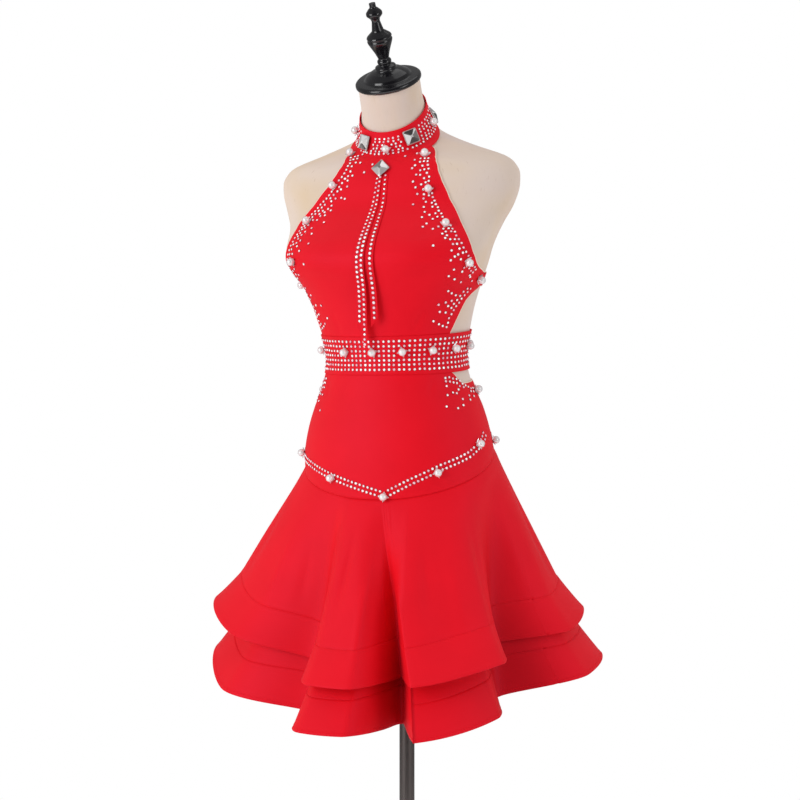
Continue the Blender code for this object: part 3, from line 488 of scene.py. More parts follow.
def pearl_lacquer():
    """Pearl lacquer over a plastic bead: white and very glossy, with painted reflection of the red cloth
    and painted shade making it rosier and darker towards its rim.
    """
    material, tree, shader = new_finish("pearl_lacquer_bead", {
        "Metallic": 0.22, "Roughness": 0.20, "Coat Weight": 1.0, "Coat Roughness": 0.08,
    })
    # painted reflection and painted shade: rosier and darker towards the rim
    rim = add(tree, "LayerWeight", values={"Blend": 0.42})
    tone = add(tree, "ValToRGB", links={"Fac": (rim, "Facing")},
               stops=((0.0, WHITE), (0.45, linear("#FFF6F7")), (1.0, linear("#DDA3B0"))))
    feed(tree, shader, {"Base Color": (tone, "Color")})
    return material


def silver_setting():
    """Thin stamped brass, silver plated: bright, with slightly dulled points."""
    material, tree, shader = new_finish("silver_plated_setting", {
        "Metallic": 0.55, "Base Color": linear("#E4E2E6"),
    })
    wear = add(tree, "TexNoise", values={"Scale": 700.0})
    dull = add(tree, "MapRange", values={"To Min": 0.16, "To Max": 0.36}, links={"Value": (wear, "Fac")})
    feed(tree, shader, {"Roughness": (dull, "Result")})
    return material


def black_lacquer():
    """Turned wood under thick black lacquer: deep gloss with a trace of orange peel."""
    material, tree, shader = new_finish("black_lacquered_beech", {
        "Base Color": linear("#151418"), "Roughness": 0.16, "Coat Weight": 0.6, "Coat Roughness": 0.05,
    })
    peel = add(tree, "TexNoise", values={"Scale": 190.0, "Detail": 1.0})
    bump = add(tree, "Bump", values={"Strength": 0.08, "Distance": 0.0006}, links={"Height": (peel, "Fac")})
    feed(tree, shader, {"Normal": (bump, "Normal")})
    return material


def dark_steel(name, low, high):
    """Blackened steel: a satin metal with fine drawn lines along its length."""
    material, tree, shader = new_finish(name, {"Metallic": 0.92, "Base Color": linear("#6E6765")})
    place = add(tree, "TexCoord")
    drawn = add(tree, "Mapping", values={"Scale": (1.0, 1.0, 0.012)}, links={"Vector": (place, "Object")})
    lines = add(tree, "TexNoise", values={"Scale": 900.0, "Detail": 2.0},
                links={"Vector": (drawn, "Vector")})
    satin = add(tree, "MapRange", values={"To Min": low, "To Max": high}, links={"Value": (lines, "Fac")})
    feed(tree, shader, {"Roughness": (satin, "Result")})
    return material


def plain_white():
    """Matt white floor paint."""
    return new_finish("matt_white_floor_paint", {"Base Color": linear("#F6F6F6"), "Roughness": 0.9})[0]


# ---- meshes ----
def make_object(name, points, faces, material, uvs=None, smooth=True):
    """A piece in the scene that rides on the part's one body, with its material."""
    mesh = bpy.data.meshes.new(name)
    mesh.from_pydata(np.asarray(points, float).tolist(), [], faces)
    mesh.materials.append(material)
    if uvs is not None:
        layer = mesh.uv_layers.new(name="cut")
        corner = np.empty(len(mesh.loops), dtype=np.int32)
        mesh.loops.foreach_get("vertex_index", corner)
        layer.data.foreach_set("uv", np.asarray(uvs, float)[corner].ravel())
    if smooth:
        mesh.shade_smooth()
    piece = bpy.data.objects.new(name, mesh)
    bpy.context.scene.collection.objects.link(piece)
    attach(piece, RIDE)
    return piece


def grid_faces(rows, columns, ring, start, flip):
    """The quads of a grid of points, by their number."""
    r, c = np.meshgrid(np.arange(rows - 1), np.arange(columns if ring else columns - 1), indexing="ij")
    a, b = start + r * columns + c, start + r * columns + (c + 1) % columns
    corners = (a, b, b + columns, a + columns)
    return np.stack(corners[::-1] if flip else corners, axis=-1).reshape(-1, 4).tolist()


def closed_rings(rings, sides):
    """The faces of a stack of rings: a flat cap, the quads from ring to ring and a flat cap."""
    low, high = list(range(sides))[::-1], list(range((rings - 1) * sides, rings * sides))
    return [low] + grid_faces(rings, sides, True, 0, False) + [high]


def rim_loops(rows, columns, ring):
    """The outline of a grid as closed loops of (point, its neighbour further in)."""
    last = (rows - 1) * columns
    if ring:
        bottom = [(c, c + columns) for c in range(columns)]
        top = [(last + c, last + c - columns) for c in range(columns)]
        return [bottom, top[::-1]]
    loop = [(c, c + columns) for c in range(columns)]
    loop += [(r * columns + columns - 1, r * columns + columns - 2) for r in range(1, rows)]
    loop += [(last + c, last + c - columns) for c in range(columns - 2, -1, -1)]
    loop += [(r * columns, r * columns + 1) for r in range(rows - 2, 0, -1)]
    return [loop]


def keep_edges(data, lines):
    """Marks a cloth's two side edges sharp, so that its face stays evenly shaded right up to them."""
    count = len(data.vertices)
    ends = np.empty(2 * len(data.edges), dtype=np.int32)
    data.edges.foreach_get("vertices", ends)
    low, high = np.sort(ends.reshape(-1, 2).astype(np.int64), axis=1).T
    sharp = np.isin(low * count + high, np.concatenate([line[:-1] * count + line[1:] for line in lines]))
    data.attributes.new("sharp_edge", "BOOLEAN", "EDGE").data.foreach_set("value", sharp)


def shell(name, node, outer, inner, uv, material, ring=False, painted_shade=None):
    """A cloth as a thin closed shell between two grids of points, with rounded edges."""
    rows, columns = outer.shape[:2]
    count = rows * columns
    points = np.concatenate([outer.reshape(-1, 3), inner.reshape(-1, 3)])
    uvs = np.concatenate([uv.reshape(-1, 2), uv.reshape(-1, 2)])
    shade_marks = np.zeros(2 * count) if painted_shade is None else np.tile(painted_shade.ravel(), 2)
    side = np.cross(outer[0, 1] - outer[0, 0], outer[1, 0] - outer[0, 0])
    outward = float(np.dot(side, outer[0, 0] - inner[0, 0])) > 0.0
    faces = grid_faces(rows, columns, ring, 0, not outward)
    faces += grid_faces(rows, columns, ring, count, outward)
    for loop in rim_loops(rows, columns, ring):
        edge, inside = (np.array(part) for part in zip(*loop))
        face, back = points[edge], points[count + edge]
        thick = np.linalg.norm(face - back, axis=1, keepdims=True)
        bulge = unit(face - points[inside]) * thick * EDGE_ROUND
        rim = len(points) + np.arange(len(edge))
        points = np.concatenate([points, (face + back) / 2.0 + bulge])
        uvs = np.concatenate([uvs, uvs[edge]])
        shade_marks = np.concatenate([shade_marks, shade_marks[edge]])
        after, rim_after = np.roll(edge, -1), np.roll(rim, -1)
        outer_quads = np.stack([edge, rim, rim_after, after], axis=1)
        inner_quads = np.stack([rim, count + edge, count + after, rim_after], axis=1)
        quads = np.stack([outer_quads, inner_quads], axis=1).reshape(-1, 4)
        faces += (quads if outward else quads[:, ::-1]).tolist()
    piece = make_object(name, points, faces, material, uvs)
    if not ring:
        first_side = np.arange(rows) * columns
        keep_edges(piece.data, (first_side, first_side + columns - 1))
    # each point's painted shade mark, read by the knit's material
    piece.data.attributes.new("painted_shade", "FLOAT", "POINT").data.foreach_set("value", shade_marks)
    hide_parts(node)
    return piece


def layered(name, template, points, normals, alongs, sizes, material, tints=None, smooth=False,
            uv=None):
    """Many copies of one small shape joined in one mesh, each set on a point with its own size and turn."""
    shape, shape_faces = np.asarray(template[0], float), template[1]
    normals = unit(normals)
    alongs = unit(alongs - normals * np.sum(alongs * normals, axis=1, keepdims=True))
    frames = np.stack([alongs, np.cross(normals, alongs), normals], axis=1)
    sizes = np.broadcast_to(np.asarray(sizes, float), (len(points),))
    placed = points[:, None, :] + sizes[:, None, None] * (shape @ frames)
    each = len(shape)
    faces = [tuple(each * k + v for v in face) for k in range(len(points)) for face in shape_faces]
    piece = make_object(name, placed.reshape(-1, 3), faces, material, uv, smooth)
    if tints is not None:
        tone = piece.data.attributes.new("tint", "FLOAT", "FACE")
        tone.data.foreach_set("value", np.asarray(tints, float).ravel())
    return piece


def turned_template(profile, sides):
    """A shape turned round Z from (radius, height) rings, closed by flat faces."""
    turns = 2.0 * pi * np.arange(sides) / sides
    points = [(r * cos(turn), r * sin(turn), z) for r, z in profile for turn in turns]
    return points, closed_rings(len(profile), sides)


EDGE_ROUND = 0.45    # how far a cloth's turned edge stands out, as a share of its thickness
# a flat-back rhinestone of radius 1: foil edge, girdle, then the sloped crown up to its table
STONE_SIDES, STONE_RADIUS = 8, 0.0021
RHINESTONE = turned_template(((1.09, 0.0), (1.09, 0.12), (0.86, 0.24), (0.52, 0.58)), STONE_SIDES)
RIM_FACES = 1 + 2 * STONE_SIDES    # its back, foil edge and girdle
PEARL, PEARL_SINK, PEARL_SEAT = 0.0055, 0.0010, 0.0004
SETTING_REACH, SETTING_TWIST = 0.0082, 0.35
SETTING_WAIST, SETTING_THICK, SETTING_RISE, SETTING_TOP = 0.52, 0.10, 0.34, 0.90    # of its reach
# a square mirror stone of side 1: half width, corner cut and height of each ring
SQUARE_RINGS = ((0.47, 0.05, 0.0), (0.50, 0.05, 0.05), (0.45, 0.10, 0.11), (0.09, 0.03, 0.25))
FACETS = 8
# one machine stitch of length 1: place along it, thickness and rise of each ring
STITCH_RINGS = (
    (-0.5, 0.25, -0.35), (-0.3, 0.8, 0.25), (0.0, 1.0, 0.5), (0.3, 0.8, 0.25), (0.5, 0.25, -0.35),
)
THREAD_SIDES, THREAD = 5, 0.17


def pearl_template(rings=12, sides=22):
    """A round bead of radius 1, closed at both ends by its last small rings."""
    tilts = np.linspace(-0.97, 0.97, rings) * pi / 2.0
    return turned_template([(cos(t), sin(t)) for t in tilts], sides)


def star_template():
    """A four-pointed star of reach 1 whose points bend up, the setting that holds a pearl."""
    low, high, faces = [], [], []
    for k in range(8):
        after = (k + 1) % 8
        r, z = (SETTING_WAIST, 0.0) if k % 2 else (1.0, SETTING_RISE)
        x, y = r * cos(pi * k / 4), r * sin(pi * k / 4)
        low.append((x, y, z))
        high.append((x * SETTING_TOP, y * SETTING_TOP, z + SETTING_THICK))
        faces += [(after, k, 16), (k, after, 8 + after, 8 + k), (8 + k, 8 + after, 17)]
    return low + high + [(0.0, 0.0, 0.0), (0.0, 0.0, SETTING_THICK)], faces


def square_template():
    """A square mirror stone: chamfered corners, a thin girdle and four large facets to a small table."""
    points = []
    for half, corner, z in SQUARE_RINGS:
        c = half - corner
        points += [(half, -c, z), (half, c, z), (c, half, z), (-c, half, z)]
        points += [(-half, c, z), (-half, -c, z), (-c, -half, z), (c, -half, z)]
    return points, closed_rings(len(SQUARE_RINGS), FACETS)


def stitch_template():
    """A single machine stitch: a short thread that dips in at both ends."""
    turns = 2.0 * pi * np.arange(THREAD_SIDES) / THREAD_SIDES
    points = [(x, THREAD * fat * cos(turn), THREAD * (z + fat * sin(turn)))
              for x, fat, z in STITCH_RINGS for turn in turns]
    return points, [face[::-1] for face in closed_rings(len(STITCH_RINGS), THREAD_SIDES)]


# ---- cloth on the body ----
CLOTH = 0.0011
# creases on the body panels, each from one place to another
# angle_deg, level, to_angle_deg, to_level, half_width, depth
BODY_CREASES = np.array([
    (14.0, 1.212, 46.0, 1.219, 0.008, 0.001), (58.0, 1.208, 78.0, 1.205, 0.003, 0.0009),
    (60.0, 1.216, 74.0, 1.212, 0.0024, 0.0007), (52.0, 1.196, 76.0, 1.2, 0.0034, 0.0008),
    (34.0, 1.276, 20.0, 1.262, 0.006, 0.0006), (-60.0, 1.208, -78.0, 1.205, 0.003, 0.0009),
    (-52.0, 1.195, -74.0, 1.199, 0.0036, 0.0008), (-16.0, 1.211, -44.0, 1.22, 0.009, 0.001),
    (-36.0, 1.278, -22.0, 1.264, 0.006, 0.0006), (30.0, 1.14, 37.0, 1.17, 0.005, 0.0008),
    (47.0, 1.138, 51.0, 1.162, 0.004, 0.0007), (-28.0, 1.14, -33.0, 1.168, 0.005, 0.0008),
    (-45.0, 1.139, -52.0, 1.165, 0.0042, 0.0007), (9.0, 1.405, 12.0, 1.382, 0.0034, 0.0005),
    (-9.0, 1.405, -13.0, 1.384, 0.0034, 0.0005), (46.0, 1.074, 40.0, 1.048, 0.005, 0.0007),
    (22.0, 1.073, 24.0, 1.056, 0.0046, 0.0006), (-24.0, 1.073, -27.0, 1.054, 0.0046, 0.0006),
    (-50.0, 1.074, -44.0, 1.046, 0.005, 0.0007), (88.0, 1.05, 62.0, 1.032, 0.005, 0.0008),
    (-88.0, 1.05, -64.0, 1.034, 0.005, 0.0008), (96.0, 1.042, 128.0, 1.03, 0.006, 0.001),
    (264.0, 1.044, 232.0, 1.032, 0.006, 0.001), (140.0, 1.056, 158.0, 1.042, 0.0052, 0.0008),
    (222.0, 1.058, 203.0, 1.044, 0.0052, 0.0008), (176.0, 1.072, 179.0, 1.042, 0.0044, 0.0007),
])
MEAN_RADIUS, SKIRT_RADIUS = 0.125, 0.200    # they lay an angle out as a width of cloth
COLLAR_PROUD, BELT_PROUD, BELT_FOLD, BELT_FOLD_SHARE = 0.0010, 0.0006, 0.0004, 0.03
YOKE_RIDGE, RIDGE_ABOVE, RIDGE_WIDTH = 0.0005, 0.0025, 0.0016
BAND_INSET, YOKE_INSET = 0.002, 0.001    # how far each stops short of its side seams


def body_crease(angle, level):
    """The summed depth of the body panels' creases at a place, in metres."""
    depth = np.zeros(np.broadcast(angle, level).shape)
    for a0, l0, a1, l1, half_width, deep in BODY_CREASES:
        turn = np.angle(np.exp(1j * (angle - radians(a0)))) * MEAN_RADIUS
        rise = level - l0
        way = np.array([radians(a1 - a0) * MEAN_RADIUS, l1 - l0])
        length = float(np.hypot(*way))
        along = (turn * way[0] + rise * way[1]) / length ** 2
        across = (turn * way[1] - rise * way[0]) / length
        fade = np.sin(pi * np.clip(along, 0.0, 1.0)) ** 0.7
        depth += deep * fade * np.exp(-(across / half_width) ** 2)
    return depth


def body_panel(name, node, angle, level, material, ring=False, proud=0.0):
    """A cloth panel worn by the form, from grids of angles and levels."""
    out = OUTSIDE + proud - body_crease(angle, level)
    outer = lifted(angle, level, out)
    uv = np.stack([angle * MEAN_RADIUS, level], axis=-1)
    piece = shell(name, node, outer, lifted(angle, level, out - CLOTH), uv, material, ring)
    grid = np.concatenate([outer, outer[:, :1]], axis=1) if ring else outer
    declare_cloth(piece, grid)


def cloth_measures(grid):
    """A cloth's greatest width and length along its threads, and its area."""
    across, along = np.diff(grid, axis=1), np.diff(grid, axis=0)
    width = np.linalg.norm(across, axis=-1).sum(axis=1).max()
    length = np.linalg.norm(along, axis=-1).sum(axis=0).max()
    area = np.linalg.norm(np.cross(along[:, :-1], across[:-1]), axis=-1).sum()
    return float(width), float(length), float(area)


CUT_STEP = 0.005    # a cut's sides are rounded to this
# a skirt piece is a part circle: its rectangle is this share of its hem wide, and so full of its cloth
HEM_SHARE, CIRCLE_FILL = 0.86, 0.62


def declare_cloth(piece, grid):
    """Measures a cloth that is cut as its own rectangle, its sides rounded to the cut step; nothing more is
    done with the measures.
    """
    width, length, area = cloth_measures(grid)
    width, length = (round(side / CUT_STEP) * CUT_STEP for side in (width, length))


def declare_skirt(grid):
    """Measures a skirt piece, a part circle cut inside a rectangle; nothing more is done with the measures.
    """
    width, length, area = cloth_measures(grid)
    width = round(width * HEM_SHARE, 2)
    length = round(max(area / width / CIRCLE_FILL, length), 2)


def build_form(material):
    """The limbless form under its jersey, closed under the hips and at the neck."""
    angle, level = np.meshgrid(all_round(150), np.linspace(FORM_BOTTOM, FORM_TOP, 170))
    uvs = np.stack([angle * MEAN_RADIUS, level], axis=-1).reshape(-1, 2)
    points = skin(angle, level).reshape(-1, 3)
    piece = make_object("form", points, closed_rings(*angle.shape), material, uvs)
    piece.data.set_sharp_from_angle(angle=radians(50.0))
    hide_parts("form_torso")


def build_bodice(material):
    """The halter front, from the belt up to the collar."""
    base = np.linspace(BODICE_EDGE[0, 0] + SEAM_GAP, BODICE_EDGE[-1, 0], 180)[:, None]
    share = np.linspace(-1.0, 1.0, 120)[None, :]
    left, right = (bodice_half_angle(base, side) for side in (LEFT_EDGE, RIGHT_EDGE))
    angle = share * np.where(share > 0.0, left, right)
    body_panel("bodice", "bodice_front", angle, bodice_level(base, angle), material)


def build_collar(material):
    """The stand collar, which leans off the neck a little at its upper edge."""
    angle, share = np.meshgrid(all_round(260), np.linspace(0.0, 1.0, 20))
    level = collar_edge(COLLAR_BOTTOM, angle) * (1.0 - share) + collar_edge(COLLAR_TOP, angle) * share
    body_panel("collar_band", "collar", angle, level, material, True, COLLAR_PROUD * share ** 3)


def build_belt(material):
    """The waist belt all round, doubled, with a firm fold at both edges."""
    angle, share = np.meshgrid(all_round(300), np.linspace(0.0, 1.0, 26))
    level = belt_bottom_level(angle) * (1.0 - share) + BELT_TOP * share
    fold = np.exp(-(np.minimum(share, 1.0 - share) / BELT_FOLD_SHARE) ** 2)
    body_panel("waist_belt", "belt", angle, level, material, True, BELT_PROUD + BELT_FOLD * fold)


def build_band(material):
    """The narrow band under the shoulder blades."""
    side = BAND_SIDE + BAND_INSET
    angle = np.linspace(side, 2.0 * pi - side, 150)
    angle, level = np.meshgrid(angle, np.linspace(BAND_BOTTOM, BAND_TOP, 12))
    body_panel("band_back", "back_band", angle, level, material)


def build_yokes(material):
    """Both halves of the hip yoke, with a small ridge over the seam that carries the skirt."""
    quarter = pi / 2.0 - YOKE_INSET
    for half, middle in (("front", 0.0), ("back", pi)):
        angle = np.linspace(middle - quarter, middle + quarter, 130)
        angle, share = np.meshgrid(angle, np.linspace(0.0, 1.0, 90))
        level = (hip_seam_level(angle) + SEAM_GAP) * (1.0 - share) + yoke_top_level(angle) * share
        ridge = np.exp(-((level - hip_seam_level(angle) - RIDGE_ABOVE) / RIDGE_WIDTH) ** 2)
        body_panel("hip_yoke_" + half, "yoke_" + half, angle, level, material, proud=YOKE_RIDGE * ridge)


# ---- skirt ----
UPPER_DEPTH = 0.22
# tier, the fall where its cloth starts, its grid's rows
TIERS = (("upper", 0.0, 56), ("lower", LOWER_TOP_DROP / UPPER_DEPTH, 64))
COLUMNS_PER_ROW, HEM_COARSER = 22, 4    # a hem band's grid has this many times fewer rows
SIDE_INSET = 0.00073333    # how far a half stops short of its side seams, in fold rows
HEM_PROUD, HEM_LIP, HEM_LIP_RUN = 0.0004, 0.0006, 0.025    # the run is a fall
LOWER_INSET, COVERED_INSET, COVERED_RUN = 0.0025, 0.0012, 0.25
# a trough's depth where its painted shade starts and where it is full, and the side where the painted shade
# is strongest
SHADE_STARTS, SHADE_FULL, SHADE_SIDE = 0.012, 0.080, radians(50.0)


def side_places():
    """Where the side seams fall, counted in fold rows."""
    places = np.arange(0.0, len(FOLDS), 0.01)
    directions = np.degrees(fold_angle(places, HEM_ANGLE))
    return np.interp(90.0, directions, places), np.interp(270.0, directions, places)


def shown_run(tier, places):
    """How long the cloth is from the top of a tier's shown part to its hem."""
    top, hem = (skirt_surface(tier, places, fall) for fall in SHOWN[tier])
    return np.linalg.norm(hem - top, axis=-1)


def band_falls(tier, places):
    """The fall of a tier's band seam at each place, and the small gap at that seam."""
    run = shown_run(tier, places)
    return SHOWN[tier][1] - HEM_BAND / run, SEAM_GAP / 2.0 / run


def painted_shade_of(tier, places, falls):
    """Painted shade for a place of the skirt, from 0 to 1: more the deeper in a trough it lies, most of all
    at the wearer's left.
    """
    column = UPPER_RADIUS if tier == "upper" else LOWER_RADIUS
    reach = FOLDS[:, column]
    ridges = np.flatnonzero((reach >= np.roll(reach, 1)) & (reach > np.roll(reach, -1)))
    ridge = np.interp(places, ridges, reach[ridges], period=len(FOLDS))
    depth = (ridge - fold_value(places, column)) * opened(np.clip(falls, 0.0, 1.0))
    share = np.clip((depth - SHADE_STARTS) / (SHADE_FULL - SHADE_STARTS), 0.0, 1.0)
    side = 0.5 + 0.5 * np.cos(fold_angle(places, HEM_ANGLE) - SHADE_SIDE)
    return side ** 2 * soft_step(share)


def skirt_grid(tier, places, falls, proud):
    """Outer and inner points of a stretch of skirt. The lower tier hangs further in where it is covered."""
    out = np.broadcast_to(proud, falls.shape)
    if tier == "lower":
        out = out - LOWER_INSET - COVERED_INSET * np.clip((1.0 - falls) / COVERED_RUN, 0.0, 1.0)
    surface = skirt_surface(tier, places, falls)
    normal = skirt_normals(tier, places, falls)
    return surface + normal * out[..., None], surface + normal * (out - CLOTH)[..., None]


def build_skirt(material):
    """Two tiers, each of a skirt and a hem band, in a front and a back half."""
    left, right = side_places()
    hem_places = {}
    for half, start, end in (("front", right - len(FOLDS), left), ("back", left, right)):
        count = int(round((end - start) * COLUMNS_PER_ROW))
        hem_places[half] = places = np.linspace(start + SIDE_INSET, end - SIDE_INSET, count)
        widths = fold_angle(places, HEM_ANGLE)[None, :] * SKIRT_RADIUS
        for tier, first, rows in TIERS:
            last = SHOWN[tier][1]
            seam, gap = band_falls(tier, places)
            down = np.linspace(0.0, 1.0, rows)[:, None]
            hem_down = down[::HEM_COARSER] / down[::HEM_COARSER].max()
            skirt_falls = first * (1.0 - down) + (seam - gap) * down
            hem_falls = (seam + gap) * (1.0 - hem_down) + last * hem_down
            lip = HEM_PROUD + HEM_LIP * np.exp(-((last - hem_falls) / HEM_LIP_RUN) ** 2)
            for kind, falls, proud in (("skirt", skirt_falls, 0.0), ("hem", hem_falls, lip)):
                name = f"{tier}_{kind}_{half}"
                outer, inner = skirt_grid(tier, places[None, :], falls, proud)
                uv = np.stack(np.broadcast_arrays(widths, outer[..., 2]), axis=-1)
                # painted shade: how dark the knit is painted deep in each trough
                painted_shade = painted_shade_of(tier, places[None, :], falls)
                piece = shell(f"{name}_cloth", name, outer, inner, uv, material, painted_shade=painted_shade)
                declare_skirt(outer)
    return hem_places


# ---- hanging strips ----
# level, left strip's middle x and half width, right strip's middle x and half width, standoff
STRIPS = np.array([
    (1.364, -0.001, 0.0038, 0.0082, 0.003, 0.0002), (1.3, -0.004, 0.0055, 0.0088, 0.004, 0.0003),
    (1.24, -0.0065, 0.0065, 0.009, 0.0045, 0.0012), (1.2, -0.008, 0.0065, 0.0085, 0.0045, 0.0045),
    (1.16, -0.0095, 0.0065, 0.0075, 0.0045, 0.0095), (1.11, -0.0105, 0.0065, 0.0065, 0.0045, 0.014),
])
STRIP_TOP, STRIP_CLOTH, STRIP_CURL, STRIP_WIDTH = 1.361, 0.0009, 0.0006, 0.012
LEFT_STRIP, RIGHT_STRIP, STRIP_STANDOFF = 1, 3, 5


def strip_point(column, across, level, extra=0.0):
    """A point on a hanging strip: across from -1 to 1, at a level."""
    middle, half, standoff = (
        smooth_value(level, STRIPS[::-1, 0], STRIPS[::-1, k]) for k in (column, column + 1, STRIP_STANDOFF)
    )
    width = smooth_value(level, BODY[:, 0], BODY[:, 3]) + bust(0.0, level)
    angle = np.arcsin((middle + across * half) / width)
    return lifted(angle, level, OUTSIDE + standoff + extra), skin_normals(angle, level)


def build_strips(material):
    """Two strips of doubled knit that hang from the front stone, free of the chest below the bust."""
    for name, node, column, low_right, low_left in (
        ("strip_long", "strip_left", LEFT_STRIP, 1.150, 1.116),
        ("strip_short", "strip_right", RIGHT_STRIP, 1.151, 1.163),
    ):
        across, share = np.meshgrid(np.linspace(-1.0, 1.0, 11), np.linspace(0.0, 1.0, 120))
        low = low_right * (1.0 - across) / 2.0 + low_left * (1.0 + across) / 2.0
        level = STRIP_TOP * (1.0 - share) + low * share
        curl = STRIP_CURL * share ** 2 * across ** 2
        outer, inner = (strip_point(column, across, level, curl + thick)[0] for thick in (STRIP_CLOTH, 0.0))
        uv = np.stack([across * STRIP_WIDTH / 2.0, level], axis=-1)
        declare_cloth(shell(name, node, outer, inner, uv, material), outer)


# ---- stones, pearls and stitching ----
random = np.random.default_rng(SEED)
pearl_places = []


def on_cloth(angles, levels, proud=0.0):
    """Points on the cloth's outer face, and the directions out of it and up it."""
    angles, levels = np.asarray(angles, float), np.asarray(levels, float)
    out = OUTSIDE + proud - body_crease(angles, levels)
    points = lifted(angles, levels, out)
    ups = lifted(angles, levels + 0.001, out) - points
    return points, skin_normals(angles, levels), ups


PEARL_ROOM, PEARL_ROOM_CLOSE = 0.0072, 0.0066    # no stone lies nearer to a pearl's middle
STONE_TIP, STONE_TWIST, STONE_FACET_TONES, STONE_SIZES = 0.07, 0.0008, 0.8, (0.94, 1.05)


def set_stones(name, points, normals, ups, radius, material, room=PEARL_ROOM_CLOSE):
    """Rhinestones on given points, each turned and tipped by its own small amount, none under a pearl."""
    keep = np.ones(len(points), bool)
    for place in pearl_places:
        keep &= np.linalg.norm(points - place, axis=1) > room
    points, normals, ups = points[keep], normals[keep], ups[keep]
    tipped = normals + random.normal(0.0, STONE_TIP, normals.shape)
    turned = ups + STONE_TWIST * random.normal(0.0, 1.0, ups.shape)
    sizes = np.broadcast_to(radius, keep.shape)[keep] * random.uniform(*STONE_SIZES, len(points))
    crown = np.ones((1, len(RHINESTONE[1]) - RIM_FACES))
    tints = STONE_FACET_TONES * random.random((len(points), 1)) * crown
    # painted shade: the back, foil edge and girdle take the darkest tone, a dark ring round each stone
    tints = np.concatenate([np.ones((len(points), RIM_FACES)), tints], axis=1)
    layered(name, RHINESTONE, points, tipped, turned, sizes, material, tints)


def arc_angles(level, pitch):
    """Angles at an even pitch all round the cloth at one level."""
    fine = np.linspace(-pi, pi, 1440)
    run = run_along(skin(fine, level))
    count = int(round(run[-1] / pitch))
    return np.interp(np.linspace(0.0, run[-1], count, endpoint=False), run, fine)


# angle_deg, level
COLLAR_PEARLS = ((3.5, 1.4205), (-75.0, 1.4310), (89.0, 1.4305))
BODICE_PEARLS = (
    (32.5, 1.397), (23.5, 1.3335), (37.5, 1.281), (56.0, 1.2315), (81.0, 1.208), (-44.0, 1.406),
    (-23.5, 1.3455), (-39.0, 1.293), (-46.0, 1.238), (-81.0, 1.208),
)
BELT_PEARLS_DEG = (-68.0, -26.0, -1.0, 22.0, 46.0, 69.0, 93.0, 119.0, 146.0, 172.0, 198.0, 225.0, 257.0)
BELT_PEARLS = [(angle, 1.1145) for angle in BELT_PEARLS_DEG]
YOKE_PEARLS = (
    (72.5, 0.9775), (39.0, 0.9415), (6.5, 0.9065), (-28.5, 0.932), (-72.0, 0.9625), (94.5, 1.049),
    (265.5, 1.049), (105.0, 0.977), (143.0, 1.008), (180.0, 1.016), (217.0, 1.006), (254.0, 0.982),
)


def build_pearls(bead, setting):
    """Pearls on their star settings, in a row or along an edge of each panel."""
    for name, places, proud in (
        ("pearls_collar", COLLAR_PEARLS, STONES_ON_COLLAR),
        ("pearls_bodice", BODICE_PEARLS, 0.0),
        ("pearls_belt", BELT_PEARLS, BELT_PROUD),
        ("pearls_yoke", YOKE_PEARLS, 0.0),
    ):
        table = np.array(places)
        points, normals, ups = on_cloth(np.radians(table[:, 0]), table[:, 1], proud)
        pearl_places.extend(points)
        centres = points + normals * (PEARL - PEARL_SINK + PEARL_SEAT)
        layered(name, pearl_template(), centres, normals, ups, PEARL, bead, smooth=True)
        ups = ups + np.cross(normals, ups) * random.uniform(-SETTING_TWIST, SETTING_TWIST, (len(ups), 1))
        layered(name + "_settings", star_template(), points, normals, ups, SETTING_REACH, setting)


SQUARE_CLEAR = 0.0121    # no stone lies nearer to a square stone's middle, along or up the collar
BELT_STONE_ROWS, BELT_STONE_PITCH, BELT_STONE_MARGIN, BELT_STONE_RISE = 7, 0.0069, 0.0068, 0.0008
# how far hand setting leaves stones off their rows: angle, level
BELT_STRAY, COLLAR_STRAY = (0.0016, 0.00015), (0.009, 0.0003)
COLLAR_STONE_ROWS = (0.0085, 0.0127, 0.0169, 0.0211, 0.0253, 0.0295)
COLLAR_STONE_PITCH, COLLAR_STONE_RADIUS, STONES_ON_COLLAR, STAGGER = 0.0063, 0.0018, 0.0002, 0.054


def build_belt_stones(material):
    """The belt's seven even rows of stones, square to each other."""
    angles = arc_angles((BELT_TOP + BELT_BOTTOM) / 2.0, BELT_STONE_PITCH)
    angles, shares = (grid.ravel() for grid in np.meshgrid(angles, np.linspace(0.0, 1.0, BELT_STONE_ROWS)))
    lowest = belt_bottom_level(angles) + BELT_STONE_MARGIN
    highest = BELT_TOP - BELT_STONE_MARGIN + BELT_STONE_RISE
    levels = lowest * (1.0 - shares) + highest * shares
    angles = angles + random.normal(0.0, BELT_STRAY[0], len(angles))
    levels = levels + random.normal(0.0, BELT_STRAY[1], len(levels))
    set_stones("stones_belt", *on_cloth(angles, levels, BELT_PROUD), STONE_RADIUS, material, PEARL_ROOM)


def build_collar_stones(material):
    """The collar's staggered rows of stones under a plain upper edge."""
    places = []
    for row, below in enumerate(COLLAR_STONE_ROWS):
        angles = arc_angles(COLLAR_TOP - below, COLLAR_STONE_PITCH) + STAGGER * (row % 2)
        places.append(np.stack([angles, collar_edge(COLLAR_TOP, angles) - below], axis=1))
    places = np.concatenate(places)
    for k, stray in enumerate(COLLAR_STRAY):
        places[:, k] += random.normal(0.0, stray, len(places))
    points, normals, ups = on_cloth(places[:, 0], places[:, 1], STONES_ON_COLLAR)
    clear = np.ones(len(points), bool)
    for place in COLLAR_SQUARES.values():
        middle, _, across, up = square_seat(*place)
        away = points - middle
        near = (np.abs(away @ across[0]) <= SQUARE_CLEAR) & (np.abs(away @ up[0]) <= SQUARE_CLEAR)
        clear &= ~near | (np.linalg.norm(away, axis=1) > 3.0 * SQUARE_CLEAR)
    set_stones("stones_collar", points[clear], normals[clear], ups[clear], COLLAR_STONE_RADIUS, material)


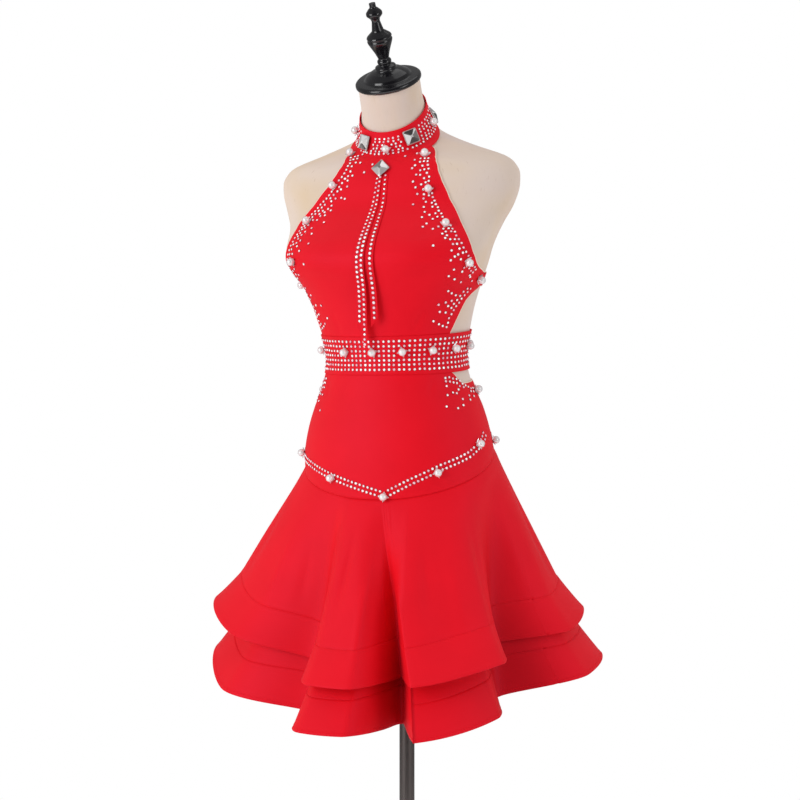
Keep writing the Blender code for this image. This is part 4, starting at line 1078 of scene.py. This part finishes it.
# the trim over the hips: its upper row, from side to side
# angle_deg, level
FRONT_TRIM = np.array([
    (-90.0, 0.979), (-70.0, 0.9635), (-48.5, 0.952), (-33.5, 0.9415), (6.5, 0.9125), (22.5, 0.9325),
    (40.5, 0.952), (62.0, 0.968), (77.0, 0.9845), (82.5, 0.995),
])
BACK_TRIM = np.array([
    (100.0, 0.982), (112.0, 0.99), (126.0, 1.002), (143.0, 1.013), (180.0, 1.021), (217.0, 1.011),
    (236.0, 1.001), (254.0, 0.989), (270.0, 0.979),
])
TRIM_PITCH, TRIM_ROW = 0.0062, 0.0070


def walk(path, pitch):
    """Even steps along a path of (angle_deg, level) places on the cloth, and the way ahead at each."""
    places = taken(np.linspace(0.0, 1.0, 900), np.linspace(0.0, 1.0, len(path)), path)
    places[:, 0] = np.radians(places[:, 0])
    points = skin(places[:, 0], places[:, 1])
    run = run_along(points)
    at = np.arange(pitch / 2.0, run[-1], pitch)
    angle, level = taken(at, run, places).T
    return angle, level, heading(taken(at, run, points))


def moved(angle, level, ahead, sideways):
    """Places moved across a path on the cloth, towards the left of its direction seen from outside."""
    base = skin(angle, level)
    goal = np.cross(skin_normals(angle, level), ahead) * np.asarray(sideways)[..., None]
    step = 0.001
    by_angle = (skin(angle + step, level) - base) / step
    by_level = (skin(angle, level + step) - base) / step
    aa, ll = np.sum(by_angle ** 2, axis=1), np.sum(by_level ** 2, axis=1)
    al = np.sum(by_angle * by_level, axis=1)
    ga, gl = np.sum(goal * by_angle, axis=1), np.sum(goal * by_level, axis=1)
    bottom = aa * ll - al ** 2
    return np.stack([angle + (ga * ll - gl * al) / bottom, level + (gl * aa - ga * al) / bottom], axis=1)


def build_trims(material):
    """Two rows of stones along the hip trim, in front and behind."""
    for name, path in (("stones_trim_front", FRONT_TRIM), ("stones_trim_back", BACK_TRIM)):
        angle, level, ahead = walk(path, TRIM_PITCH)
        places = np.concatenate([moved(angle, level, ahead, -TRIM_ROW * row) for row in (0, 1)])
        set_stones(name, *on_cloth(places[:, 0], places[:, 1]), STONE_RADIUS, material)


# the plain border between the bodice's side edge and its first row of stones
# edge_level, left_border, right_border
BORDERS = np.array([
    (1.139, 0.009, 0.009), (1.155, 0.012, 0.012), (1.18, 0.0098, 0.0098), (1.192, 0.01, 0.01),
    (1.22, 0.0055, 0.008), (1.245, 0.0093, 0.012), (1.262, 0.0135, 0.012), (1.28, 0.015, 0.0115),
    (1.3, 0.0205, 0.0112), (1.324, 0.0195, 0.0105), (1.35, 0.0172, 0.011), (1.372, 0.0118, 0.01),
    (1.392, 0.0084, 0.0094), (1.409, 0.0084, 0.0098),
])
# the low cut under the belt: its outer row of stones
# angle_deg, level
HIP_CUT = np.array([(55.0, 1.0745), (62.0, 1.0735), (70.0, 1.069), (79.0, 1.057), (89.0, 1.053)])
# how far in each row of a scatter lies, its pitch and the share of its stones that are kept
# inward, pitch, share
EDGE_ROWS = (
    (0.0, 0.0062, 1.0), (0.0053, 0.0064, 0.95), (0.0106, 0.0066, 0.88), (0.0162, 0.0078, 0.68),
    (0.024, 0.012, 0.5), (0.034, 0.018, 0.4),
)
CUT_ROWS = (
    (0.0, 0.0064, 1.0), (0.0056, 0.0066, 0.9), (0.0118, 0.0085, 0.75), (0.02, 0.013, 0.65),
    (0.03, 0.018, 0.5),
)
HIP_ROWS = (
    (0.0, 0.0062, 1.0), (0.0062, 0.0068, 0.95), (0.0135, 0.0085, 0.75), (0.0225, 0.011, 0.65),
    (0.034, 0.016, 0.5), (0.046, 0.017, 0.45),
)
WANDER, WANDER_GROWS, SCATTER_LEAST, SCATTER_SMALLER = 0.0006, 0.06, 0.0047, 0.95
ARMHOLE_START, CUTOUT_START, CUTOUT_END = 1.224, 1.138, 1.190


def edge_path(start, end, side):
    """A path of (angle_deg, level) places along the bodice's edge, on the left (1) or the right (-1)."""
    base = np.linspace(start, end, 120)
    angle = side * bodice_half_angle(base, LEFT_EDGE if side > 0.0 else RIGHT_EDGE)
    return np.stack([np.degrees(angle), bodice_level(base, angle)], axis=1)


def bordered_path(start, end, side):
    """The same path, moved in by the bodice's plain border."""
    angle, level = edge_path(start, end, side).T
    angle = np.radians(angle)
    column = LEFT_EDGE if side > 0.0 else RIGHT_EDGE
    border = np.interp(np.linspace(start, end, len(angle)), BORDERS[:, 0], BORDERS[:, column])
    places = moved(angle, level, heading(skin(angle, level)), side * border)
    return np.stack([np.degrees(places[:, 0]), places[:, 1]], axis=1)


def scatter(path, rows, side):
    """Stones along an edge: dense in the outer rows and thinner further in."""
    found = []
    for inward, pitch, share in rows:
        angle, level, ahead = walk(path, pitch)
        wander = random.normal(0.0, WANDER + inward * WANDER_GROWS, len(angle))
        places = moved(angle, level, ahead, side * (inward + wander))
        found.append(places[random.random(len(angle)) < share])
    return np.concatenate(found)


def thinned(places, least):
    """Places with every one left out that lies too near to one before it."""
    points = skin(places[:, 0], places[:, 1])
    kept = []
    for k, point in enumerate(points):
        if all(np.linalg.norm(point - points[j]) > least for j in kept):
            kept.append(k)
    return places[kept]


def build_scatters(material):
    """Scattered stones along the armholes, the open sides and the low cuts below the belt."""
    for name, path, rows, side in (
        ("stones_armhole_left", bordered_path(ARMHOLE_START, 1.404, 1.0), EDGE_ROWS, 1.0),
        ("stones_armhole_right", bordered_path(ARMHOLE_START, 1.408, -1.0), EDGE_ROWS, -1.0),
        ("stones_cutout_left", bordered_path(CUTOUT_START, CUTOUT_END, 1.0), CUT_ROWS, 1.0),
        ("stones_cutout_right", bordered_path(CUTOUT_START, CUTOUT_END, -1.0), CUT_ROWS, -1.0),
        ("stones_hip_left", HIP_CUT, HIP_ROWS, -1.0),
        ("stones_hip_right", HIP_CUT * np.array([-1.0, 1.0]), HIP_ROWS, 1.0),
    ):
        places = thinned(scatter(path, rows, side), SCATTER_LEAST)
        set_stones(name, *on_cloth(places[:, 0], places[:, 1]), STONE_RADIUS * SCATTER_SMALLER, material)


STRIP_STONE_PITCH = 0.0069
# level, radius
STRIP_STONE_SIZES = np.array([
    (1.12, 0.0022), (1.17, 0.0022), (1.19, 0.0024), (1.262, 0.0024), (1.29, 0.0019), (1.36, 0.0018),
])
# strip, place across it, highest level, lowest level
STRIP_COLUMNS = (
    (LEFT_STRIP, -0.52, 1.3535, 1.1560),
    (LEFT_STRIP, 0.48, 1.3560, 1.1250),
    (RIGHT_STRIP, 0.0, 1.3585, 1.1600),
)


def build_strip_stones(material):
    """Two columns of stones on the long strip and one on the short strip."""
    parts = []
    for column, across, high, low in STRIP_COLUMNS:
        fine = np.linspace(high, low, 400)
        run = run_along(strip_point(column, across, fine, STRIP_CLOTH)[0])
        level = np.interp(np.arange(0.0, run[-1], STRIP_STONE_PITCH), run, fine)
        point, normal = strip_point(column, across, level, STRIP_CLOTH)
        up = strip_point(column, across, level + 0.001, STRIP_CLOTH)[0] - point
        size = np.interp(level, STRIP_STONE_SIZES[:, 0], STRIP_STONE_SIZES[:, 1])
        parts.append((point, normal, up, size))
    set_stones("stones_strips", *(np.concatenate(part) for part in zip(*parts)), material, PEARL_ROOM)


# square stones: angle_deg, level, seat above the cloth
COLLAR_SQUARES = {
    "collar_front_left": (41.0, 1.4300, 0.0021),
    "collar_front_right": (-34.0, 1.4280, 0.0028),
    "collar_side_left": (117.0, 1.4300, 0.0008),
    "collar_side_right": (-117.0, 1.4300, 0.0008),
}
FRONT_SQUARE = {"front": (0.0, 1.3705, 0.0029)}
# the painted reflection on each of their facets, from its right side round by its top, and on the small
# table
FACET_REFLECTIONS = {
    "collar_front_left": (0.50, 0.05, 0.92, 0.80, 0.00, 0.00, 0.85, 0.95, 0.20),
    "collar_front_right": (0.45, 0.20, 0.10, 0.40, 0.25, 0.05, 0.60, 0.90, 0.05),
    "collar_side_left": (0.15, 0.60, 0.40, 0.00, 0.85, 0.20, 0.10, 0.55, 0.30),
    "collar_side_right": (0.70, 0.10, 0.20, 0.55, 0.05, 0.90, 0.45, 0.15, 0.25),
    "front": (0.02, 0.70, 0.50, 0.40, 0.28, 0.45, 0.35, 0.00, 0.55),
}
BACK_TONE, SIDE_TONE = 0.5, 0.3
COLLAR_SQUARE_SIZE, FRONT_SQUARE_SIZE, SQUARE_STEP = 0.0205, 0.0198, 0.05


def square_seat(angle_deg, level, seat):
    """The middle of a square stone's back, the way out of it, along the collar and up."""
    angle, level = np.array([radians(angle_deg)]), np.array([level])
    normal = skin_normals(angle, level)
    across = skin(angle + SQUARE_STEP, level) - skin(angle - SQUARE_STEP, level)
    across = unit(across - normal * np.sum(across * normal))
    return lifted(angle, level, OUTSIDE + np.array([seat])), normal, across, np.cross(normal, across)


def build_squares(material):
    """The five square mirror stones: four on the collar and one in front, set on its corner."""
    for name, place in {**COLLAR_SQUARES, **FRONT_SQUARE}.items():
        size, turn = (COLLAR_SQUARE_SIZE, 0.0) if name in COLLAR_SQUARES else (FRONT_SQUARE_SIZE, pi / 4.0)
        point, normal, across, up = square_seat(*place)
        along = across * cos(turn) + up * sin(turn)
        tints = (BACK_TONE,) * (1 + FACETS) + (SIDE_TONE,) * FACETS + FACET_REFLECTIONS[name]
        stone = layered(f"square_{name}", square_template(), point, normal, along, size, material,
                        tints)
        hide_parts(f"stone_{name}")


EDGING, EDGING_SHOWS, EDGING_SIDES = 0.0009, 0.0008, 8


def edging(name, angles, levels, side, material):
    """A round elastic beside the cloth's edge, on the left (1) or right (-1) of its direction."""
    normals = skin_normals(angles, levels)
    path = lifted(angles, levels, OUTSIDE - CLOTH)
    path = path + np.cross(normals, heading(path)) * side * EDGING_SHOWS
    ahead = heading(path)
    aside = unit(np.cross(ahead, normals))
    up = np.cross(aside, ahead)
    turns = 2.0 * pi * np.arange(EDGING_SIDES) / EDGING_SIDES
    around = np.cos(turns)[:, None] * aside[:, None] + np.sin(turns)[:, None] * up[:, None]
    points = (path[:, None] + EDGING * around).reshape(-1, 3)
    uvs = np.stack(np.broadcast_arrays(turns * EDGING, run_along(path)[:, None]), axis=-1).reshape(-1, 2)
    make_object(name, points, closed_rings(len(path), EDGING_SIDES), material, uvs)


def opening(start, end):
    """An opening's edge: along the bodice's left edge to the back band, round it and along the right."""
    band = np.linspace(BAND_SIDE, 2.0 * pi - BAND_SIDE, 160)[1:-1]
    left, right = edge_path(start, end, 1.0), edge_path(start, end, -1.0)[::-1]
    angles = np.concatenate([np.radians(left[:, 0]), band, 2.0 * pi + np.radians(right[:, 0])])
    return angles, np.concatenate([left[:, 1], np.full(len(band), end), right[:, 1]])


def build_edgings(material):
    """Nude elastic along the armholes and the back band, the open sides, and the low cuts at the hips."""
    side = np.linspace(SIDE_CUT_FRONT, BACK_CUT_END, 120)
    edging("edging_armholes", *opening(COLLAR_BOTTOM - 0.001, BAND_TOP), 1.0, material)
    edging("edging_open_sides", *opening(BELT_TOP, BAND_BOTTOM), -1.0, material)
    edging("edging_hip_left", side, yoke_top_level(side), 1.0, material)
    edging("edging_hip_right", -side, yoke_top_level(-side), -1.0, material)


STITCH, STITCH_PITCH, STITCH_SINK = 0.0024, 0.0034, 0.0001
HEM_STITCH_RISE, ARMHOLE_STITCH_INSET, ARMHOLE_STITCH_ENDS = 0.0045, 0.0055, (1.226, 1.409)


def stitched(name, path, normals, material):
    """A row of machine stitches along a path of points."""
    run = run_along(path)
    at = np.arange(STITCH_PITCH / 2.0, run[-1], STITCH_PITCH)
    points, turned = taken(at, run, path), taken(at, run, normals)
    stitch = stitch_template()
    uv = np.zeros((len(points) * len(stitch[0]), 2))
    layered(name, stitch, points, turned, heading(points), STITCH, material,
            smooth=True, uv=uv)


def build_stitching(material, hem_places):
    """Stitching above each hem and along the plain borders of the armholes."""
    for tier, inset in (("upper", 0.0), ("lower", LOWER_INSET)):
        for half, places in hem_places.items():
            fall = SHOWN[tier][1] - HEM_STITCH_RISE / shown_run(tier, places)
            normal = skirt_normals(tier, places, fall)
            path = skirt_surface(tier, places, fall) + normal * (HEM_PROUD - inset - STITCH_SINK)
            stitched(f"stitches_{tier}_hem_{half}", path, normal, material)
    for name, side, column in (("left", 1.0, LEFT_EDGE), ("right", -1.0, RIGHT_EDGE)):
        base = np.linspace(*ARMHOLE_STITCH_ENDS, 160)
        angle = side * (bodice_half_angle(base, column) - ARMHOLE_STITCH_INSET / MEAN_RADIUS)
        points, normals, _ = on_cloth(angle, bodice_level(base, angle), -STITCH_SINK)
        stitched(f"stitches_armhole_{name}", points, normals, material)


# ---- cap, pole and base ----
# radius, height up the cap's axis
CAP_PROFILE = np.array([
    (0.045, 0.0), (0.0475, 0.002), (0.0475, 0.006), (0.0455, 0.008), (0.034, 0.0088), (0.0315, 0.013),
    (0.023, 0.0185), (0.015, 0.021), (0.015, 0.0255), (0.0085, 0.0285), (0.0102, 0.0315), (0.01, 0.0345),
    (0.0075, 0.037), (0.0105, 0.046), (0.0172, 0.061), (0.0182, 0.0645), (0.0165, 0.0665), (0.0182, 0.0685),
    (0.017, 0.071), (0.0085, 0.078), (0.0058, 0.092), (0.007, 0.096), (0.0115, 0.1005), (0.0115, 0.1045),
    (0.0072, 0.1095), (0.0046, 0.1115), (0.0046, 0.1175),
])
POLE_RADIUS, POLE_FLANGE, POLE_FLANGE_HEIGHT = 0.011, 0.030, 0.010
BASE_RADIUS, BASE_HEIGHT, BASE_EDGE, BASE_RISE = 0.180, 0.014, 0.004, 0.003
HUB_RADIUS, HUB_TOP, HUB_EDGE = 0.026, 0.046, 0.003
SHARP, SOFTENED = 0.001, 0.0007    # a plain edge's chamfer, and how far paint and sanding soften a corner


def rounded_profile(profile, per_span=5):
    """A turned profile with its corners softened."""
    run = run_along(profile)
    fine = np.linspace(0.0, run[-1], len(profile) * per_span)
    rings = sum(taken(fine + shift, run, profile) for shift in (-SOFTENED, 0.0, SOFTENED)) / 3.0
    rings[0], rings[-1] = profile[0], profile[-1]
    return rings


def turned(name, node, profile, sides, material, slot, sharp_deg, place=Matrix()):
    """A turned piece in its place, which stands for its solid."""
    points, faces = turned_template(profile, sides)
    piece = make_object(name, [tuple(place @ Vector(point)) for point in points], faces, material)
    piece.data.set_sharp_from_angle(angle=radians(sharp_deg))
    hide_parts(node)


def build_stand(lacquer, steel, plate):
    """The cap square to the neck's top, the pole and the round base."""
    rim = skin(all_round(72), FORM_TOP)
    front, back, middle = rim[36], rim[0], rim.mean(axis=0)
    lean = atan2(back[2] - front[2], back[1] - front[1])
    axis = np.array([0.0, -sin(lean), cos(lean)])
    seat = middle + axis * (((rim - middle) @ axis).max() + SEAM_GAP)
    place = Matrix.Translation(Vector(seat)) @ Matrix.Rotation(lean, 4, "X")
    turned("cap", "neck_cap", rounded_profile(CAP_PROFILE), 64, lacquer, "black_lacquer", 60.0, place)
    pole_top = FORM_BOTTOM - SEAM_GAP
    flange_low = pole_top - POLE_FLANGE_HEIGHT
    pole = (
        (POLE_RADIUS, HUB_TOP + SEAM_GAP),
        (POLE_RADIUS, flange_low),
        (POLE_FLANGE - SHARP, flange_low),
        (POLE_FLANGE, flange_low + SHARP),
        (POLE_FLANGE, pole_top),
    )
    turned("stand_pole", "pole", pole, 64, steel, "dark_steel", 42.0)
    base = np.array([
        (BASE_RADIUS - SHARP, 0.0),
        (BASE_RADIUS, SHARP),
        (BASE_RADIUS, BASE_HEIGHT - BASE_EDGE),
        (BASE_RADIUS - BASE_EDGE, BASE_HEIGHT),
        (HUB_RADIUS, BASE_HEIGHT + BASE_RISE),
        (HUB_RADIUS, HUB_TOP - HUB_EDGE),
        (HUB_RADIUS - HUB_EDGE, HUB_TOP),
    ])
    turned("stand_base", "base", rounded_profile(base, 6), 96, plate, "dark_steel", 42.0)


# ---- studio ----
CAMERA_TURN, CAMERA_AWAY, CAMERA_SIDE, CAMERA_HEIGHT, LENS = radians(21.0), 2.4, -0.0102, 1.037, 73.98
FLOOR = 1.7
AIM = Vector((0.0, 0.0, 1.05))
# softboxes: metres ahead, to the camera's right and up, width, height, power
SOFTBOXES = {
    "key": (1.7, -2.1, 1.35, 1.4, 1.9, 31.0),
    "fill": (1.8, 1.9, 1.35, 1.0, 1.9, 11.0),
    "top": (0.0, 0.0, 3.4, 1.6, 1.6, 4.0),
}
REFLECTED_ROOM = 0.28    # the share of the room's light that shows in reflections


def build_camera():
    """The camera, level with the hips and turned 21 degrees to the wearer's left."""
    data = bpy.data.cameras.new("camera")
    data.lens = LENS
    camera = bpy.data.objects.new("camera", data)
    ahead = Vector((sin(CAMERA_TURN), -cos(CAMERA_TURN), 0.0))
    right = Vector((cos(CAMERA_TURN), sin(CAMERA_TURN), 0.0))
    camera.location = ahead * CAMERA_AWAY + right * CAMERA_SIDE + Vector((0.0, 0.0, CAMERA_HEIGHT))
    camera.rotation_euler = (pi / 2.0, 0.0, CAMERA_TURN)
    bpy.context.scene.collection.objects.link(camera)
    bpy.context.scene.camera = camera
    return ahead, right


def softbox(name, place, width, height, power):
    """A rectangular studio light aimed at the dress."""
    data = bpy.data.lights.new(name, "AREA")
    data.shape = "RECTANGLE"
    data.size, data.size_y = width, height
    data.energy = power
    lamp = bpy.data.objects.new(name, data)
    lamp.location = place
    lamp.rotation_euler = (AIM - place).to_track_quat("-Z", "Y").to_euler()
    bpy.context.scene.collection.objects.link(lamp)


def build_floor():
    """A round pale floor."""
    rim = 2.0 * pi * np.arange(96) / 96
    mesh = bpy.data.meshes.new("floor")
    mesh.from_pydata([(FLOOR * cos(t), FLOOR * sin(t), 0.0) for t in rim], [], [tuple(range(96))])
    mesh.materials.append(plain_white())
    floor = bpy.data.objects.new("floor", mesh)
    bpy.context.scene.collection.objects.link(floor)


def grey(tone):
    """A grey of the room's light."""
    return (tone, tone, tone, 1.0)


def build_room():
    """A pale room, dark behind the camera and dim in reflections. The camera itself sees it white."""
    world = bpy.data.worlds.new("studio")
    world.use_nodes = True
    tree = world.node_tree
    tree.nodes.clear()
    way = add(tree, "TexCoord")
    parts = add(tree, "SeparateXYZ", links={"Vector": (way, "Generated")})
    height = add(tree, "ValToRGB", links={"Fac": (parts, "Z")},
                 stops=((0.0, grey(0.80)), (0.30, grey(0.80)), (0.60, grey(0.76)), (1.0, grey(0.70))))
    turned_way = add(tree, "Mapping", values={"Rotation": (0.0, 0.0, -CAMERA_TURN)},
                     links={"Vector": (way, "Generated")})
    turned_parts = add(tree, "SeparateXYZ", links={"Vector": (turned_way, "Vector")})
    near = add(tree, "Math", {"operation": "MULTIPLY"}, {1: -1.0}, {0: (turned_parts, "Y")})
    dark_end = add(tree, "ValToRGB", links={"Fac": (near, "Value")},
                   stops=((0.70, WHITE), (0.92, grey(0.12))))
    room = add(tree, "MixRGB", {"blend_type": "MULTIPLY"}, {"Fac": 1.0},
               {"Color1": (height, "Color"), "Color2": (dark_end, "Color")})
    seen = add(tree, "Background", values={"Color": WHITE, "Strength": 1.0})
    path = add(tree, "LightPath")
    dimmed = add(tree, "MapRange", values={"To Min": 1.0, "To Max": REFLECTED_ROOM},
                 links={"Value": (path, "Is Glossy Ray")})
    lit = add(tree, "Background", links={"Color": (room, "Color"), "Strength": (dimmed, "Result")})
    both = add(tree, "MixShader",
               links={0: (path, "Is Camera Ray"), 1: (lit, "Background"), 2: (seen, "Background")})
    add(tree, "OutputWorld", links={"Surface": (both, "Shader")})
    bpy.context.scene.world = world


def build_studio():
    """The camera, the floor, the room and three softboxes."""
    ahead, right = build_camera()
    build_floor()
    for name, (near, aside, high, width, height, power) in SOFTBOXES.items():
        softbox(name, ahead * near + right * aside + Vector((0.0, 0.0, high)), width, height, power)
    build_room()
    bpy.context.scene.view_settings.view_transform = "Standard"


# ---- assembly ----
knit = dance_knit()
# the round stones get a painted glow of 0.16; the square stones none
crystal = foiled_crystal("foiled_crystal_rhinestone", 0.08, 0.16, ROUND_STONE_TONES)
mirror = foiled_crystal("foiled_crystal_square", 0.22, 0.0, SQUARE_STONE_TONES)
build_studio()
build_form(ecru_jersey())
build_bodice(knit)
build_collar(knit)
build_belt(knit)
build_band(knit)
build_yokes(knit)
hem_places = build_skirt(knit)
build_strips(knit)
build_edgings(nude_elastic())
build_stitching(knit, hem_places)
build_pearls(pearl_lacquer(), silver_setting())
build_squares(mirror)
build_belt_stones(crystal)
build_collar_stones(crystal)
build_trims(crystal)
build_scatters(crystal)
build_strip_stones(crystal)
pole_steel = dark_steel("blackened_steel_tube", 0.20, 0.40)
base_steel = dark_steel("blackened_steel_plate", 0.35, 0.55)
build_stand(black_lacquer(), pole_steel, base_steel)
